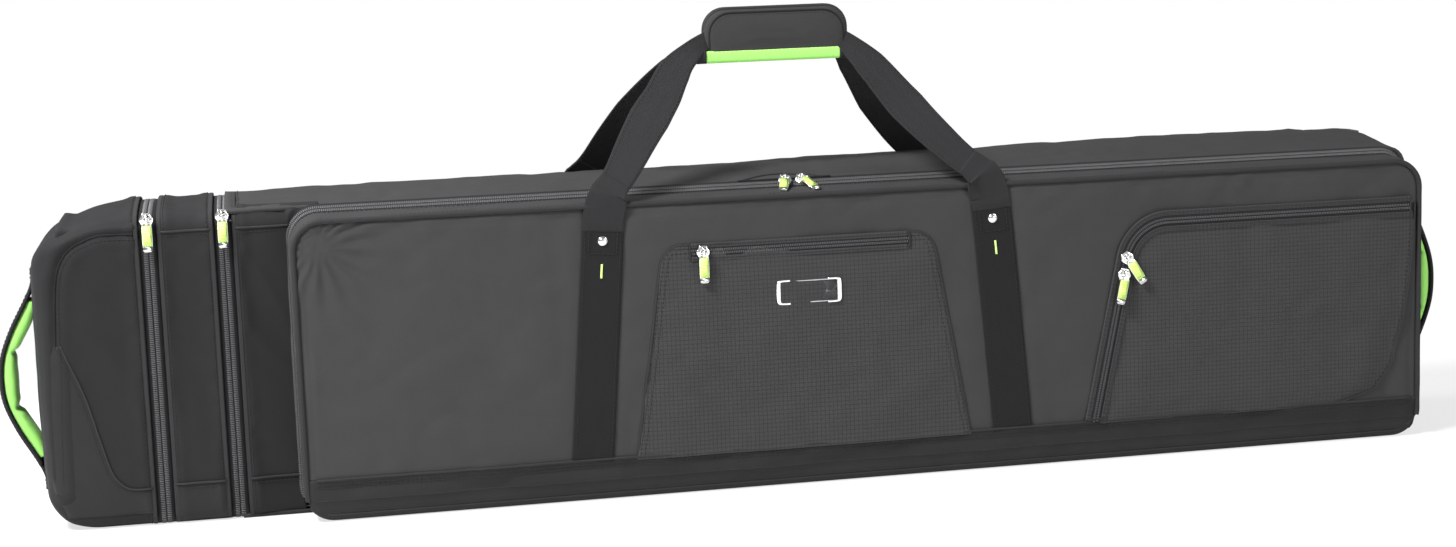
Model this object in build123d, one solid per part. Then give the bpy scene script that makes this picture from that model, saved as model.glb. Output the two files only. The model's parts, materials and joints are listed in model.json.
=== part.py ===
from build123d import *
import os
from math import atan2, cos, degrees, hypot, radians, sin, tan

# Snowboard bag standing on its long narrow side. Millimetres, +Z up.
# Origin: centre of the base on the ground. +X runs along the bag towards the wheels,
# the lid faces -Y, and the back panel with the wheels faces +Y.

# ---- driving dimensions ------------------------------------------------------------
HALF_LENGTH = 862        # half of the closed bag's length
HEIGHT = 366             # width of the bag when it lies on its back
LID_FRONT = -116         # front face of the lid
BACK = 116               # outer face of the back panel
LID_LEFT = -566          # left edge of the lid
LID_RIGHT = 858          # right edge of the lid
SLEEVE_FRONT = -63       # front face of the three left-hand sections
WALL = 6                 # padded fabric wall
EDGE_R = 14              # rounding of the long edges
CORNER_R = 36            # rounding of the lid's and the bag's corners
END_PLAN_R = 24          # rounding of the left end seen from above
SEAM_GAP = 0.2           # half of the gap between the two sides of a zip

ZIP_Y = -68              # plane of the main zip
CHAIN_HALF = 4           # width of one side of the main zip
CHAIN_OUT = 1.5          # how far a zip coil stands proud
CHAIN_IN = 5             # how far a zip tape reaches into the wall
HINGE_Z = 18             # height of the fold along which the lid opens

INNER_ZIP_X = -640       # expansion zip beside the lid
OUTER_ZIP_X = -726       # expansion zip beside the end cap
SLEEVE_CHAIN_HALF = 3    # width of one side of an expansion zip
EXPANSION = 95           # length that one expansion zip sets free
BAND_GUSSET_OFFSET = 7   # folded gusset of the outer expansion, in from the outer face
SHELL_GUSSET_OFFSET = 9.5
GUSSET_T = 1.5

WEB_W = 50               # carry webbing
WEB_T = 2.5
HANDLE_X = 38            # middle of the carry handles
LEG_HALF_SPAN = 235.5    # from that middle to a leg's foot
WEB_FOOT_SPLAY = 25      # how far the sewn webbing spreads towards the base
WEB_FOOT_Z = 50
WEB_TOP_Z = 350
PIVOT_Z = 362            # line about which a carry handle falls
PIVOT_OFF = 5.5          # that line's distance from the bag's face
GRIP_HALF = 86
GRIP_Y = -12             # plane where the two carry handles meet
GRIP_Z = 548
GRIP_H = 62
PAD_T = 6
GRIP_GAP = 0.5
GRIP_ENTRY = 24          # webbing that shows beyond each end of the grip
KNEE_IN = 84             # how far a leg has leaned in at its knee
KNEE_SHARE = 0.56        # the knee's share of the way up from the pivot to the grip
HEAD_SHARE = 0.97        # where a leg has turned level enough to meet the grip
FOOT_TANGENT = (0.25, 1) # directions in which a leg leaves the bag and reaches the grip
HEAD_TANGENT = (1, 0.5)
FOOT_TRIM = 8            # leg length that is cut off square at the pivot

WHEEL_R = 38
WHEEL_W = 24
HUB_R = 25
BEARING_R = 11
BEARING_W = 7
AXLE_R = 4
AXLE_HEAD_R = 9
AXLE_HEAD_H = 3
HUB_CLEARANCE = 2        # gap between the hub's bore and the axle
RUNNING_FIT = 0.05       # gap between a bearing's bore and the axle
WHEEL_CLEARANCE = 2      # gap between the wheel's faces and its moulding
TREAD_CLEARANCE = 4      # gap around the wheel's tread
WHEEL_X = 826
WHEEL_Y = 102
HOUSING_LEFT = 776
HOUSING_FRONT = 56
HOUSING_H = 48
HOUSING_TOP = 380        # the wheel mouldings stand a little proud of the fabric
HOUSING_R = 20
HOUSING_FIT = 1          # gap around a moulding, and how far it stands past the fabric
HOUSING_CHEEK = 9

SLIDER_L = 14            # zip slider body
SLIDER_W = 11
SLIDER_T = 3.5
BAR_H = 6.5              # height of the slider's bridge bar above its base
BAR_R = 1.2
POST_IN = 3.4
POST_T = 1.5
POST_W = 3.6
PULL_L = 34
PULL_W = 9
PULL_T = 2
EYE_R = 3
EYE_CLEARANCE = 0.5

POCKET_T = 3
BASE_STRIP_Z = 48        # top of the base fabric on the lid
PLATE_T = 2

END_HANDLE_HALF = 106
END_HANDLE_W = 40
END_HANDLE_T = 8
END_HANDLE_SWING = 35
END_AXIS_OFF = 4
END_FOOT_OUT = 2         # how far out a grab handle's feet start
LEFT_BOW = 42            # bow of the grab handle on the end cap
LEFT_HANDLE_Z = 172
RIGHT_BOW = 39           # bow of the one in front of the wheels
RIGHT_HANDLE_Y = -33
RIGHT_HANDLE_Z = 191

BOARD_T = 4.5
TIE_W = 25
TIE_T = 2
TIE_XS = (-300, 360)
BUCKLE_Z = 170
BOARD_MARGIN = 16        # how far the stiffener board stays inside the back panel

GARAGE_HALF = 58         # lens-shaped flap behind the parked main sliders
GARAGE_DEPTH = 30
GARAGE_BACK = 3          # distance of its straight edge behind the zip coil

LID_LIP = 0.5            # slit between the lid and the fold under it
BIG = 3000               # larger than the bag, for cutting blocks


# ---- helpers -----------------------------------------------------------------------
def block(x0, x1, y0, y1, z0, z1):
    """Box from its corners."""
    return Pos((x0 + x1) / 2, (y0 + y1) / 2, (z0 + z1) / 2) * Box(x1 - x0, y1 - y0, z1 - z0)


def rod_x(x0, x1, y0, y1, z0, z1, radius):
    """Bar along X whose four long edges are rounded."""
    bar = extrude(RectangleRounded(z1 - z0, y1 - y0, radius), x1 - x0)
    return Pos(x0, (y0 + y1) / 2, (z0 + z1) / 2) * Rot(0, 90, 0) * bar


def slab_y(x0, x1, y0, y1, z0, z1, radius):
    """Slab across Y whose outline in XZ has round corners."""
    slab = extrude(RectangleRounded(x1 - x0, z1 - z0, radius), y1 - y0)
    return Pos((x0 + x1) / 2, y1, (z0 + z1) / 2) * Rot(90, 0, 0) * slab


def slab_z(x0, x1, y0, y1, z0, z1, radius):
    """Slab across Z whose outline in XY has round corners."""
    slab = extrude(RectangleRounded(x1 - x0, y1 - y0, radius), z1 - z0)
    return Pos((x0 + x1) / 2, (y0 + y1) / 2, z0) * slab


def disc_z(x, y, z0, z1, radius):
    """Upright cylinder between two heights."""
    return Pos(x, y, (z0 + z1) / 2) * Cylinder(radius, z1 - z0)


def save(name, shape):
    """Write one sub-part as parts/name.step."""
    solids = shape.solids()
    whole = solids[0] if len(solids) == 1 else Compound(children=list(solids))
    export_step(whole, f"parts/{name}.step")


# ---- outlines shared by several sub-parts --------------------------------------------
def lid_slab(y0, y1, grow):
    """The lid's outline as a slab; grow is the offset out from its edge."""
    return slab_y(LID_LEFT - grow, LID_RIGHT + grow, y0, y1, -grow, HEIGHT + grow, CORNER_R + grow)


def lid_ring(y0, y1, outer, inner):
    """A band that follows the lid's outline between two offsets."""
    return lid_slab(y0, y1, outer) - lid_slab(y0, y1, inner)


def sleeve_ring(x0, x1, outer, inner):
    """A sleeve with the cross-section of the left-hand sections, between two offsets in."""
    rings = []
    for offset in (outer, inner):
        rings.append(
            rod_x(x0, x1, SLEEVE_FRONT + offset, BACK - offset, offset, HEIGHT - offset, EDGE_R - offset)
        )
    return rings[0] - rings[1]


def shell_envelope():
    """Everything inside the rounded outer shape of the main shell."""
    long_edges = rod_x(-HALF_LENGTH, HALF_LENGTH, -BIG, BACK, 0, HEIGHT, EDGE_R)
    corners = slab_y(-BIG, HALF_LENGTH, -BIG, BIG, 0, HEIGHT, CORNER_R)
    plan = slab_z(-BIG, HALF_LENGTH, -BIG, BACK, 0, HEIGHT, EDGE_R)
    return long_edges & corners & plan


def housing_holes():
    """Cut-outs in the shell for both wheel mouldings."""
    left = HOUSING_LEFT - HOUSING_FIT
    front = HOUSING_FRONT - HOUSING_FIT
    low = block(left, BIG, front, BIG, -BIG, HOUSING_H + HOUSING_FIT)
    high = block(left, BIG, front, BIG, HOUSING_TOP - HOUSING_H - HOUSING_FIT, BIG)
    return low + high


# ---- main shell ----------------------------------------------------------------------
SHELL_LEFT = INNER_ZIP_X + SLEEVE_CHAIN_HALF
SHELL_FRONT = ZIP_Y + CHAIN_HALF
STUB_RIGHT = LID_LEFT - WALL
END_SPLIT = HALF_LENGTH - CORNER_R
BASE_SPLIT = 20
TOP_SPLIT = HEIGHT - BASE_SPLIT


def shell_gusset():
    """The long wall strip: base, right end and top of the main shell, in one band."""
    outline = slab_y(-BIG, HALF_LENGTH, SHELL_FRONT, BACK - WALL, 0, HEIGHT, CORNER_R)
    hollow = slab_y(-BIG, HALF_LENGTH - WALL, SHELL_FRONT, BACK - WALL, WALL, HEIGHT - WALL, CORNER_R - WALL)
    band = (outline - hollow) & block(SHELL_LEFT, BIG, -BIG, BIG, -BIG, BIG)
    left_front = block(SHELL_LEFT, STUB_RIGHT, -BIG, SLEEVE_FRONT + EDGE_R, -BIG, BIG)
    return (band & shell_envelope()) - housing_holes() - left_front


def shell_stub():
    """Closed front corner of the shell, left of the lid."""
    ring = sleeve_ring(SHELL_LEFT, STUB_RIGHT, 0, WALL)
    return ring & block(-BIG, BIG, -BIG, SLEEVE_FRONT + EDGE_R, -BIG, BIG)


def top_panel():
    above = block(-BIG, END_SPLIT, -BIG, BIG, TOP_SPLIT, BIG)
    return (shell_gusset() + shell_stub()) & above


def right_end_panel():
    return shell_gusset() & block(END_SPLIT, BIG, -BIG, BIG, -BIG, BIG)


def base_panel():
    below = block(-BIG, END_SPLIT, -BIG, BIG, -BIG, BASE_SPLIT)
    floor = (shell_gusset() + shell_stub()) & below
    lip = lid_ring(LID_FRONT, SHELL_FRONT, 0, -WALL) + lid_slab(LID_FRONT, LID_FRONT + WALL, 0)
    lip_zone = block(-BIG, BIG, -BIG, BIG, -BIG, HINGE_Z - LID_LIP)
    return floor + (lip & lip_zone)


def front_strip():
    middle = block(-BIG, BIG, -BIG, 0, BASE_SPLIT, TOP_SPLIT)
    return shell_stub() & middle


def back_panel():
    slab = block(SHELL_LEFT, HALF_LENGTH, BACK - WALL, BACK, 0, HEIGHT)
    return (slab & shell_envelope()) - housing_holes()


def stiffener_board():
    """Stiff plastic sheet that keeps the back flat; its corners clear the wheel mouldings."""
    return slab_y(
        SHELL_LEFT + 2 * BOARD_MARGIN, HOUSING_LEFT - BOARD_MARGIN, BACK - WALL - BOARD_T, BACK - WALL,
        BOARD_MARGIN, HEIGHT - BOARD_MARGIN, BOARD_MARGIN,
    )


def zip_garage():
    """Lens-shaped flap behind the parked main sliders."""
    chord = Line((-GARAGE_HALF, 0), (GARAGE_HALF, 0))
    bow = ThreePointArc((GARAGE_HALF, 0), (0, GARAGE_DEPTH), (-GARAGE_HALF, 0))
    flap = extrude(make_face([chord, bow]), CHAIN_OUT)
    return Pos(MAIN_SLIDER_XS[0], SHELL_FRONT + GARAGE_BACK, HEIGHT) * flap


def main_chain(y0, y1):
    """One side of the main zip: up the left, along the top and down the right."""
    ring = lid_ring(y0, y1, CHAIN_OUT, -CHAIN_IN)
    return ring - block(-BIG, BIG, -BIG, BIG, -BIG, HINGE_Z + 2)


# ---- lid -----------------------------------------------------------------------------
LID_REAR = ZIP_Y - CHAIN_HALF


def above_fold(shape):
    return shape & block(-BIG, BIG, -BIG, BIG, HINGE_Z + LID_LIP, BIG)


def lid_panel():
    return above_fold(lid_slab(LID_FRONT, LID_FRONT + WALL, 0))


def lid_gusset():
    return above_fold(lid_ring(LID_FRONT + WALL, LID_REAR, 0, -WALL))


def sewn_webbing(y0, y1):
    """The two bands of carry webbing sewn to one face; they spread towards the base."""
    run = WEB_TOP_Z - WEB_FOOT_Z
    lean = degrees(atan2(WEB_FOOT_SPLAY, run))
    length = hypot(WEB_FOOT_SPLAY, run)
    bands = []
    for side in (-1, 1):
        middle_x = HANDLE_X + side * (LEG_HALF_SPAN + WEB_FOOT_SPLAY / 2)
        band = Box(WEB_W, y1 - y0, length)
        place = Pos(middle_x, (y0 + y1) / 2, WEB_FOOT_Z + run / 2) * Rot(0, -side * lean, 0)
        bands.append(place * band)
    return Compound(children=bands)


RIVET_Z = 315
RIVET_R = 5
RIVET_T = 2


def rivets(y0, y1):
    """Two flat rivet heads on the sewn webbing of one face."""
    fall = (WEB_TOP_Z - RIVET_Z) / (WEB_TOP_Z - WEB_FOOT_Z)
    heads = []
    for side in (-1, 1):
        x = HANDLE_X + side * (LEG_HALF_SPAN + WEB_FOOT_SPLAY * fall)
        heads.append(Pos(x, (y0 + y1) / 2, RIVET_Z) * Rot(90, 0, 0) * Cylinder(RIVET_R, y1 - y0))
    return Compound(children=heads)


POCKET_LEFT_FOOT = -168
POCKET_LEFT_TOP = -128
POCKET_RIGHT_FOOT = 251
POCKET_RIGHT_TOP = 206
POCKET_TOP_Z = 304
POCKET_CORNER_R = 22
CENTRE_ZIP_Z = 295
CENTRE_ZIP_XS = (-94, 176)
ZIP_STRIP_H = 5


def on_lid(face, thickness, start):
    """Stand a drawing made in the XZ plane on the lid's front, start millimetres out."""
    return Pos(0, LID_FRONT - start, 0) * Rot(90, 0, 0) * extrude(face, thickness)


def centre_pocket():
    corners = [
        (POCKET_LEFT_FOOT, BASE_STRIP_Z), (POCKET_RIGHT_FOOT, BASE_STRIP_Z),
        (POCKET_RIGHT_TOP, POCKET_TOP_Z), (POCKET_LEFT_TOP, POCKET_TOP_Z),
    ]
    face = make_face(Polyline(*corners, close=True))
    top_corners = face.vertices().sort_by(Axis.Y)[-2:]
    return on_lid(fillet(top_corners, POCKET_CORNER_R), POCKET_T, 0)


def centre_pocket_chain():
    length = CENTRE_ZIP_XS[1] - CENTRE_ZIP_XS[0]
    strip = Pos(sum(CENTRE_ZIP_XS) / 2, CENTRE_ZIP_Z) * Rectangle(length, ZIP_STRIP_H)
    return on_lid(strip, CHAIN_OUT, POCKET_T)


PLATE_X = 49
PLATE_Z = 240
PLATE_W = 81
PLATE_H = 27


def name_plate():
    """Blank metal plate."""
    face = Pos(PLATE_X, PLATE_Z) * RectangleRounded(PLATE_W, PLATE_H, PLATE_T)
    return on_lid(face, PLATE_T, POCKET_T)


# The right-hand pocket's zip climbs a slanted leg, turns on an arc and runs right.
POCKET_ZIP_TOP_Z = 299
POCKET_ZIP_R = 55
POCKET_ZIP_FOOT = (413, BASE_STRIP_Z + 2)
POCKET_ZIP_LEAN = 12     # degrees from upright
POCKET_ZIP_RIGHT = 846
POCKET_INSET = 12        # from the zip's right end to the pocket's right edge


def pocket_zip_points():
    """Start, end and middle of the arc, and the arc's centre."""
    turn = 90 - POCKET_ZIP_LEAN
    rise = POCKET_ZIP_TOP_Z - POCKET_ZIP_FOOT[1]
    corner_x = POCKET_ZIP_FOOT[0] + rise * tan(radians(POCKET_ZIP_LEAN))
    tangent = POCKET_ZIP_R * tan(radians(turn / 2))
    start = (
        corner_x - tangent * sin(radians(POCKET_ZIP_LEAN)),
        POCKET_ZIP_TOP_Z - tangent * cos(radians(POCKET_ZIP_LEAN)),
    )
    end = (corner_x + tangent, POCKET_ZIP_TOP_Z)
    centre = (end[0], POCKET_ZIP_TOP_Z - POCKET_ZIP_R)
    half = radians(90 + turn / 2)
    middle = (centre[0] + POCKET_ZIP_R * cos(half), centre[1] + POCKET_ZIP_R * sin(half))
    return start, middle, end, centre


def right_pocket():
    """Pocket bag under the slanted and curved zip."""
    start, middle, end, _ = pocket_zip_points()
    right = POCKET_ZIP_RIGHT - POCKET_INSET
    foot_z = POCKET_ZIP_FOOT[1]
    corner = (right - CORNER_R, foot_z + CORNER_R)
    turn = CORNER_R * cos(radians(45))
    lines = [
        Line(POCKET_ZIP_FOOT, start),
        ThreePointArc(start, middle, end),
        Line(end, (right, POCKET_ZIP_TOP_Z)),
        Line((right, POCKET_ZIP_TOP_Z), (right, corner[1])),
        ThreePointArc((right, corner[1]), (corner[0] + turn, corner[1] - turn), (corner[0], foot_z)),
        Line((corner[0], foot_z), POCKET_ZIP_FOOT),
    ]
    return on_lid(make_face(lines), POCKET_T, 0)


def right_pocket_chain():
    """Coil of the right-hand pocket's zip, following its edge."""
    start, middle, end, _ = pocket_zip_points()
    finish = (POCKET_ZIP_RIGHT - SLIDER_L, end[1])
    lines = [Line(POCKET_ZIP_FOOT, start), ThreePointArc(start, middle, end), Line(end, finish)]
    band = trace(lines, line_width=ZIP_STRIP_H)
    return on_lid(band, CHAIN_OUT, POCKET_T)


# ---- carry handles ---------------------------------------------------------------------
def carry_loop(side):
    """Webbing loop of the front (side -1) or rear (side 1) carry handle.

    The two legs lie in a plane that leans from the bag's top edge to the grip.
    """
    pivot_y = side * (BACK + PIVOT_OFF)
    strap_y = GRIP_Y + side * (GRIP_GAP + WEB_T / 2)
    lean = atan2(strap_y - pivot_y, GRIP_Z - PIVOT_Z)
    reach = hypot(strap_y - pivot_y, GRIP_Z - PIVOT_Z)
    own_half = GRIP_Y + side * GRIP_GAP
    keep = block(-BIG, BIG, min(own_half, side * BIG), max(own_half, side * BIG), -BIG, BIG)
    above_pivot = block(-BIG, BIG, 0, BIG, -BIG, BIG)
    half_grip = GRIP_HALF + GRIP_ENTRY
    loop = block(
        HANDLE_X - half_grip, HANDLE_X + half_grip, strap_y - WEB_T / 2, strap_y + WEB_T / 2,
        GRIP_Z - WEB_W / 2, GRIP_Z + WEB_W / 2,
    )
    place = Pos(HANDLE_X, pivot_y, PIVOT_Z) * Rot(90 - degrees(lean), 0, 0)
    for hand in (-1, 1):
        splay = FOOT_TRIM * FOOT_TANGENT[0] / FOOT_TANGENT[1]
        foot = Vector(hand * (LEG_HALF_SPAN + splay), -FOOT_TRIM)
        knee = Vector(hand * (LEG_HALF_SPAN - KNEE_IN), reach * KNEE_SHARE)
        head = Vector(hand * (GRIP_HALF + GRIP_ENTRY / 2), reach * HEAD_SHARE)
        leaving = Vector(-hand * FOOT_TANGENT[0], FOOT_TANGENT[1])
        arriving = Vector(-hand * HEAD_TANGENT[0], HEAD_TANGENT[1])
        path = Spline(foot, knee, head, tangents=[leaving, arriving])
        section = Plane(path @ 0, x_dir=(0, 0, 1), z_dir=path % 0) * Rectangle(WEB_T, WEB_W)
        leg = sweep(section, path=path) & above_pivot
        loop += (place * leg) & keep
    return loop


def grip_pad(side):
    """Half of the padded wrap: a rounded slab outside one loop."""
    inner = GRIP_Y + side * (2 * GRIP_GAP + WEB_T)
    outer = inner + side * PAD_T
    return slab_y(
        HANDLE_X - GRIP_HALF, HANDLE_X + GRIP_HALF, min(inner, outer), max(inner, outer),
        GRIP_Z - GRIP_H / 2, GRIP_Z + GRIP_H / 2, EDGE_R,
    )


def end_handle(side, bow, middle_y, middle_z):
    """Grab handle across an end: a bowed strap narrowed at its feet so that it can swing."""
    face_x = side * (HALF_LENGTH + END_AXIS_OFF)
    foot_x = side * END_FOOT_OUT
    half = END_HANDLE_HALF
    outer_half = END_HANDLE_HALF + END_HANDLE_T
    arc = ThreePointArc((foot_x, -half), (side * bow, 0), (foot_x, half))
    outer = ThreePointArc((foot_x, -outer_half), (side * (bow + END_HANDLE_T), 0), (foot_x, outer_half))
    feet = [Line(arc @ 0, outer @ 0), Line(arc @ 1, outer @ 1)]
    strap = extrude(make_face([arc, outer] + feet), END_HANDLE_W / 2, both=True)
    strap = Rot(90, 0, 0) * strap
    reach = bow + END_HANDLE_T + 1
    spread = reach / tan(radians(END_HANDLE_SWING + 3))
    triangle = Polyline((0, 0), (side * reach, spread), (side * reach, -spread), close=True)
    wedge = extrude(make_face(triangle), BIG / 4, both=True)
    return Pos(face_x, middle_y, middle_z) * (strap & wedge)


# ---- left-hand sections ------------------------------------------------------------------
CAP_RIGHT = OUTER_ZIP_X - SLEEVE_CHAIN_HALF
BAND_LEFT = OUTER_ZIP_X + SLEEVE_CHAIN_HALF
BAND_RIGHT = INNER_ZIP_X - SLEEVE_CHAIN_HALF
GUSSET_OVERLAP = 6


def cap_form(offset):
    """Outer or inner form of the end cap, open to the right."""
    left = -HALF_LENGTH + offset
    front = SLEEVE_FRONT + offset
    back = BACK - offset
    top = HEIGHT - offset
    long_edges = rod_x(left, CAP_RIGHT, front, back, offset, top, EDGE_R - offset)
    corners = slab_y(left, BIG, -BIG, BIG, offset, top, CORNER_R - offset)
    plan = slab_z(left, BIG, front, back, 0, HEIGHT, END_PLAN_R - offset)
    return long_edges & corners & plan


def cap_sleeve():
    return cap_form(0) - cap_form(WALL)


def band_sleeve():
    return sleeve_ring(BAND_LEFT, BAND_RIGHT, 0, WALL)


def sleeve_chain(x0, x1):
    """One side of an expansion zip, all the way round the bag."""
    return sleeve_ring(x0, x1, -CHAIN_OUT, CHAIN_IN)


def folded_gusset(x0, x1, offset):
    """Thin inner sleeve that shows when an expansion zip is undone."""
    return sleeve_ring(x0, x1, offset, offset + GUSSET_T)


# ---- wheels --------------------------------------------------------------------------------
def wheel_housing(z0, flip):
    """Moulding around one wheel, open to the back and the end. flip is 1 when its axle head is on top."""
    z1 = z0 + HOUSING_H
    outer = slab_z(
        HOUSING_LEFT, HALF_LENGTH + HOUSING_FIT, HOUSING_FRONT, BACK + HOUSING_FIT, z0, z1, HOUSING_R
    )
    middle = wheel_middle(z0, flip)
    half = WHEEL_W / 2 + WHEEL_CLEARANCE
    slot = disc_z(WHEEL_X, WHEEL_Y, middle - half, middle + half, WHEEL_R + TREAD_CLEARANCE)
    bore = disc_z(WHEEL_X, WHEEL_Y, z0 - 1, z1 + 1, AXLE_R)
    head_z = z1 if flip > 0 else z0
    head = disc_z(WHEEL_X, WHEEL_Y, head_z - AXLE_HEAD_H, head_z + AXLE_HEAD_H, AXLE_HEAD_R)
    return outer - slot - bore - head


def wheel_middle(z0, flip):
    """Height of a wheel's middle plane inside its moulding."""
    outer_face = z0 + HOUSING_H if flip > 0 else z0
    return outer_face - flip * (HOUSING_CHEEK + WHEEL_CLEARANCE + WHEEL_W / 2)


def axles():
    pins = []
    for z0, flip in WHEEL_PLACES:
        head_face = z0 + HOUSING_H if flip > 0 else z0
        far_face = z0 if flip > 0 else z0 + HOUSING_H
        low, high = sorted((head_face - flip * AXLE_HEAD_H, head_face))
        head = disc_z(WHEEL_X, WHEEL_Y, low, high, AXLE_HEAD_R)
        low, high = sorted((head_face - flip, far_face + flip))
        pins.append(head + disc_z(WHEEL_X, WHEEL_Y, low, high, AXLE_R))
    return Compound(children=pins)


def wheel_parts(middle):
    """Tyre, hub and two bearings of one wheel."""
    half = WHEEL_W / 2
    low, high = middle - half, middle + half
    tread = disc_z(WHEEL_X, WHEEL_Y, low, high, WHEEL_R)
    rims = [edge for edge in tread.edges() if edge.geom_type == GeomType.CIRCLE]
    tyre = fillet(rims, WHEEL_R / 5) - disc_z(WHEEL_X, WHEEL_Y, low, high, HUB_R)
    bore = disc_z(WHEEL_X, WHEEL_Y, low, high, AXLE_R + HUB_CLEARANCE)
    hub = disc_z(WHEEL_X, WHEEL_Y, low, high, HUB_R) - bore
    bearings = []
    for start, stop in ((low, low + BEARING_W), (high - BEARING_W, high)):
        seat = disc_z(WHEEL_X, WHEEL_Y, start, stop, BEARING_R)
        hub = hub - seat
        bearings.append(seat - disc_z(WHEEL_X, WHEEL_Y, start, stop, AXLE_R + RUNNING_FIT))
    return tyre, hub, Compound(children=bearings)


WHEEL_PLACES = ((HOUSING_TOP - HOUSING_H, 1), (0, -1))


# ---- zip sliders ---------------------------------------------------------------------------
def slider_body():
    """Slider drawn on the XY plane with +Z out of the zip; its bridge bar lies along X."""
    base = slab_z(-SLIDER_W / 2, SLIDER_W / 2, -SLIDER_L / 2, SLIDER_L / 2, 0, SLIDER_T, SLIDER_W / 4)
    for side in (-1, 1):
        x = side * (POST_IN + POST_T / 2)
        base += block(x - POST_T / 2, x + POST_T / 2, -POST_W / 2, POST_W / 2, 0, BAR_H + BAR_R)
    bar = Pos(0, 0, BAR_H) * Rot(0, 90, 0) * Cylinder(BAR_R, 2 * POST_IN + POST_T)
    return base + bar


def slider_pull():
    """Pull tab lying towards -Y from the bridge bar, with an eye around the bar."""
    eye_width = 2 * (POST_IN - EYE_CLEARANCE)
    eye = Pos(0, 0, BAR_H) * Rot(0, 90, 0) * Cylinder(EYE_R - EYE_CLEARANCE, eye_width)
    neck = block(-eye_width / 2, eye_width / 2, -SLIDER_L / 2, 0, BAR_H - PULL_T / 2, BAR_H + PULL_T / 2)
    tab = slab_z(
        -PULL_W / 2, PULL_W / 2, -PULL_L, -POST_W, BAR_H - PULL_T / 2, BAR_H + PULL_T / 2, PULL_W / 4
    )
    hole = Pos(0, 0, BAR_H) * Rot(0, 90, 0) * Cylinder(BAR_R + EYE_CLEARANCE, eye_width)
    return (eye + neck + tab) - hole


def put_slider(name, place):
    """Write a slider body and its pull at one place."""
    save(name + "_slider", place * slider_body())
    save(name + "_pull", place * slider_pull())


COIL_GAP = 0.5
MAIN_SLIDER_XS = (36, 57)
SLEEVE_SLIDER_Z = 364
LID_SLIDER_Y = LID_FRONT - POCKET_T - CHAIN_OUT - COIL_GAP
SLIDER_SPACING = 21
UPPER_PULL_TURN = -32


def write_sliders():
    top = HEIGHT + CHAIN_OUT + COIL_GAP
    for name, x in zip(("main_left", "main_right"), MAIN_SLIDER_XS):
        put_slider(name, Pos(x, ZIP_Y, top))
    front = SLEEVE_FRONT - CHAIN_OUT - COIL_GAP
    for name, x in (("outer_expansion", OUTER_ZIP_X), ("inner_expansion", INNER_ZIP_X)):
        put_slider(name, Pos(x, front, SLEEVE_SLIDER_Z) * Rot(90, 0, 0))
    put_slider("centre_pocket", Pos(CENTRE_ZIP_XS[0] + SLIDER_L, LID_SLIDER_Y, CENTRE_ZIP_Z) * Rot(90, 0, 0))
    start, _, _, _ = pocket_zip_points()
    lean = radians(POCKET_ZIP_LEAN)
    lower = (start[0] - SLIDER_SPACING * sin(lean), start[1] - SLIDER_SPACING * cos(lean))
    upper_place = Pos(start[0], LID_SLIDER_Y, start[1]) * Rot(0, UPPER_PULL_TURN, 0) * Rot(90, 0, 0)
    lower_place = Pos(lower[0], LID_SLIDER_Y, lower[1]) * Rot(0, POCKET_ZIP_LEAN, 0) * Rot(90, 0, 0)
    put_slider("right_pocket_upper", upper_place)
    put_slider("right_pocket_lower", lower_place)


# ---- inside --------------------------------------------------------------------------------
TIE_BACK = BACK - WALL - BOARD_T
SOCKET_W = 34
SOCKET_H = 24
SOCKET_T = 9
TONGUE_W = 22
TONGUE_H = 16
TONGUE_T = 4
INSERT_H = 15
BUCKLE_R = 3
TIE_LOW_Z = 26
TIE_HIGH_Z = 340
FIT = 0.4


def tie_straps():
    """Both tie-down straps, each in a lower and an upper length."""
    lengths = []
    for x in TIE_XS:
        for z0, z1 in ((TIE_LOW_Z, BUCKLE_Z - SOCKET_H / 2), (BUCKLE_Z + SOCKET_H / 2 + FIT, TIE_HIGH_Z)):
            lengths.append(block(x - TIE_W / 2, x + TIE_W / 2, TIE_BACK - TIE_T, TIE_BACK, z0, z1))
    return Compound(children=lengths)


def buckle_sockets():
    sockets = []
    for x in TIE_XS:
        back = TIE_BACK - TIE_T
        low, high = BUCKLE_Z - SOCKET_H / 2, BUCKLE_Z + SOCKET_H / 2
        body = slab_y(x - SOCKET_W / 2, x + SOCKET_W / 2, back - SOCKET_T, back, low, high, BUCKLE_R)
        middle = back - SOCKET_T / 2
        half_w, half_t = TONGUE_W / 2 + FIT, TONGUE_T / 2 + FIT
        floor = high - TONGUE_H - FIT
        mouth = block(x - half_w, x + half_w, middle - half_t, middle + half_t, floor, high + 1)
        sockets.append(body - mouth)
    return Compound(children=sockets)


def buckle_insert(x):
    middle = TIE_BACK - TIE_T - SOCKET_T / 2
    high = BUCKLE_Z + SOCKET_H / 2
    half_t = SOCKET_T / 2
    half_w, thin = TONGUE_W / 2, TONGUE_T / 2
    tongue = block(x - half_w, x + half_w, middle - thin, middle + thin, high - TONGUE_H, high + 1)
    head = slab_y(
        x - SOCKET_W / 2, x + SOCKET_W / 2, middle - half_t, middle + half_t - FIT,
        high + FIT, high + FIT + INSERT_H, BUCKLE_R,
    )
    return tongue + head


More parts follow.
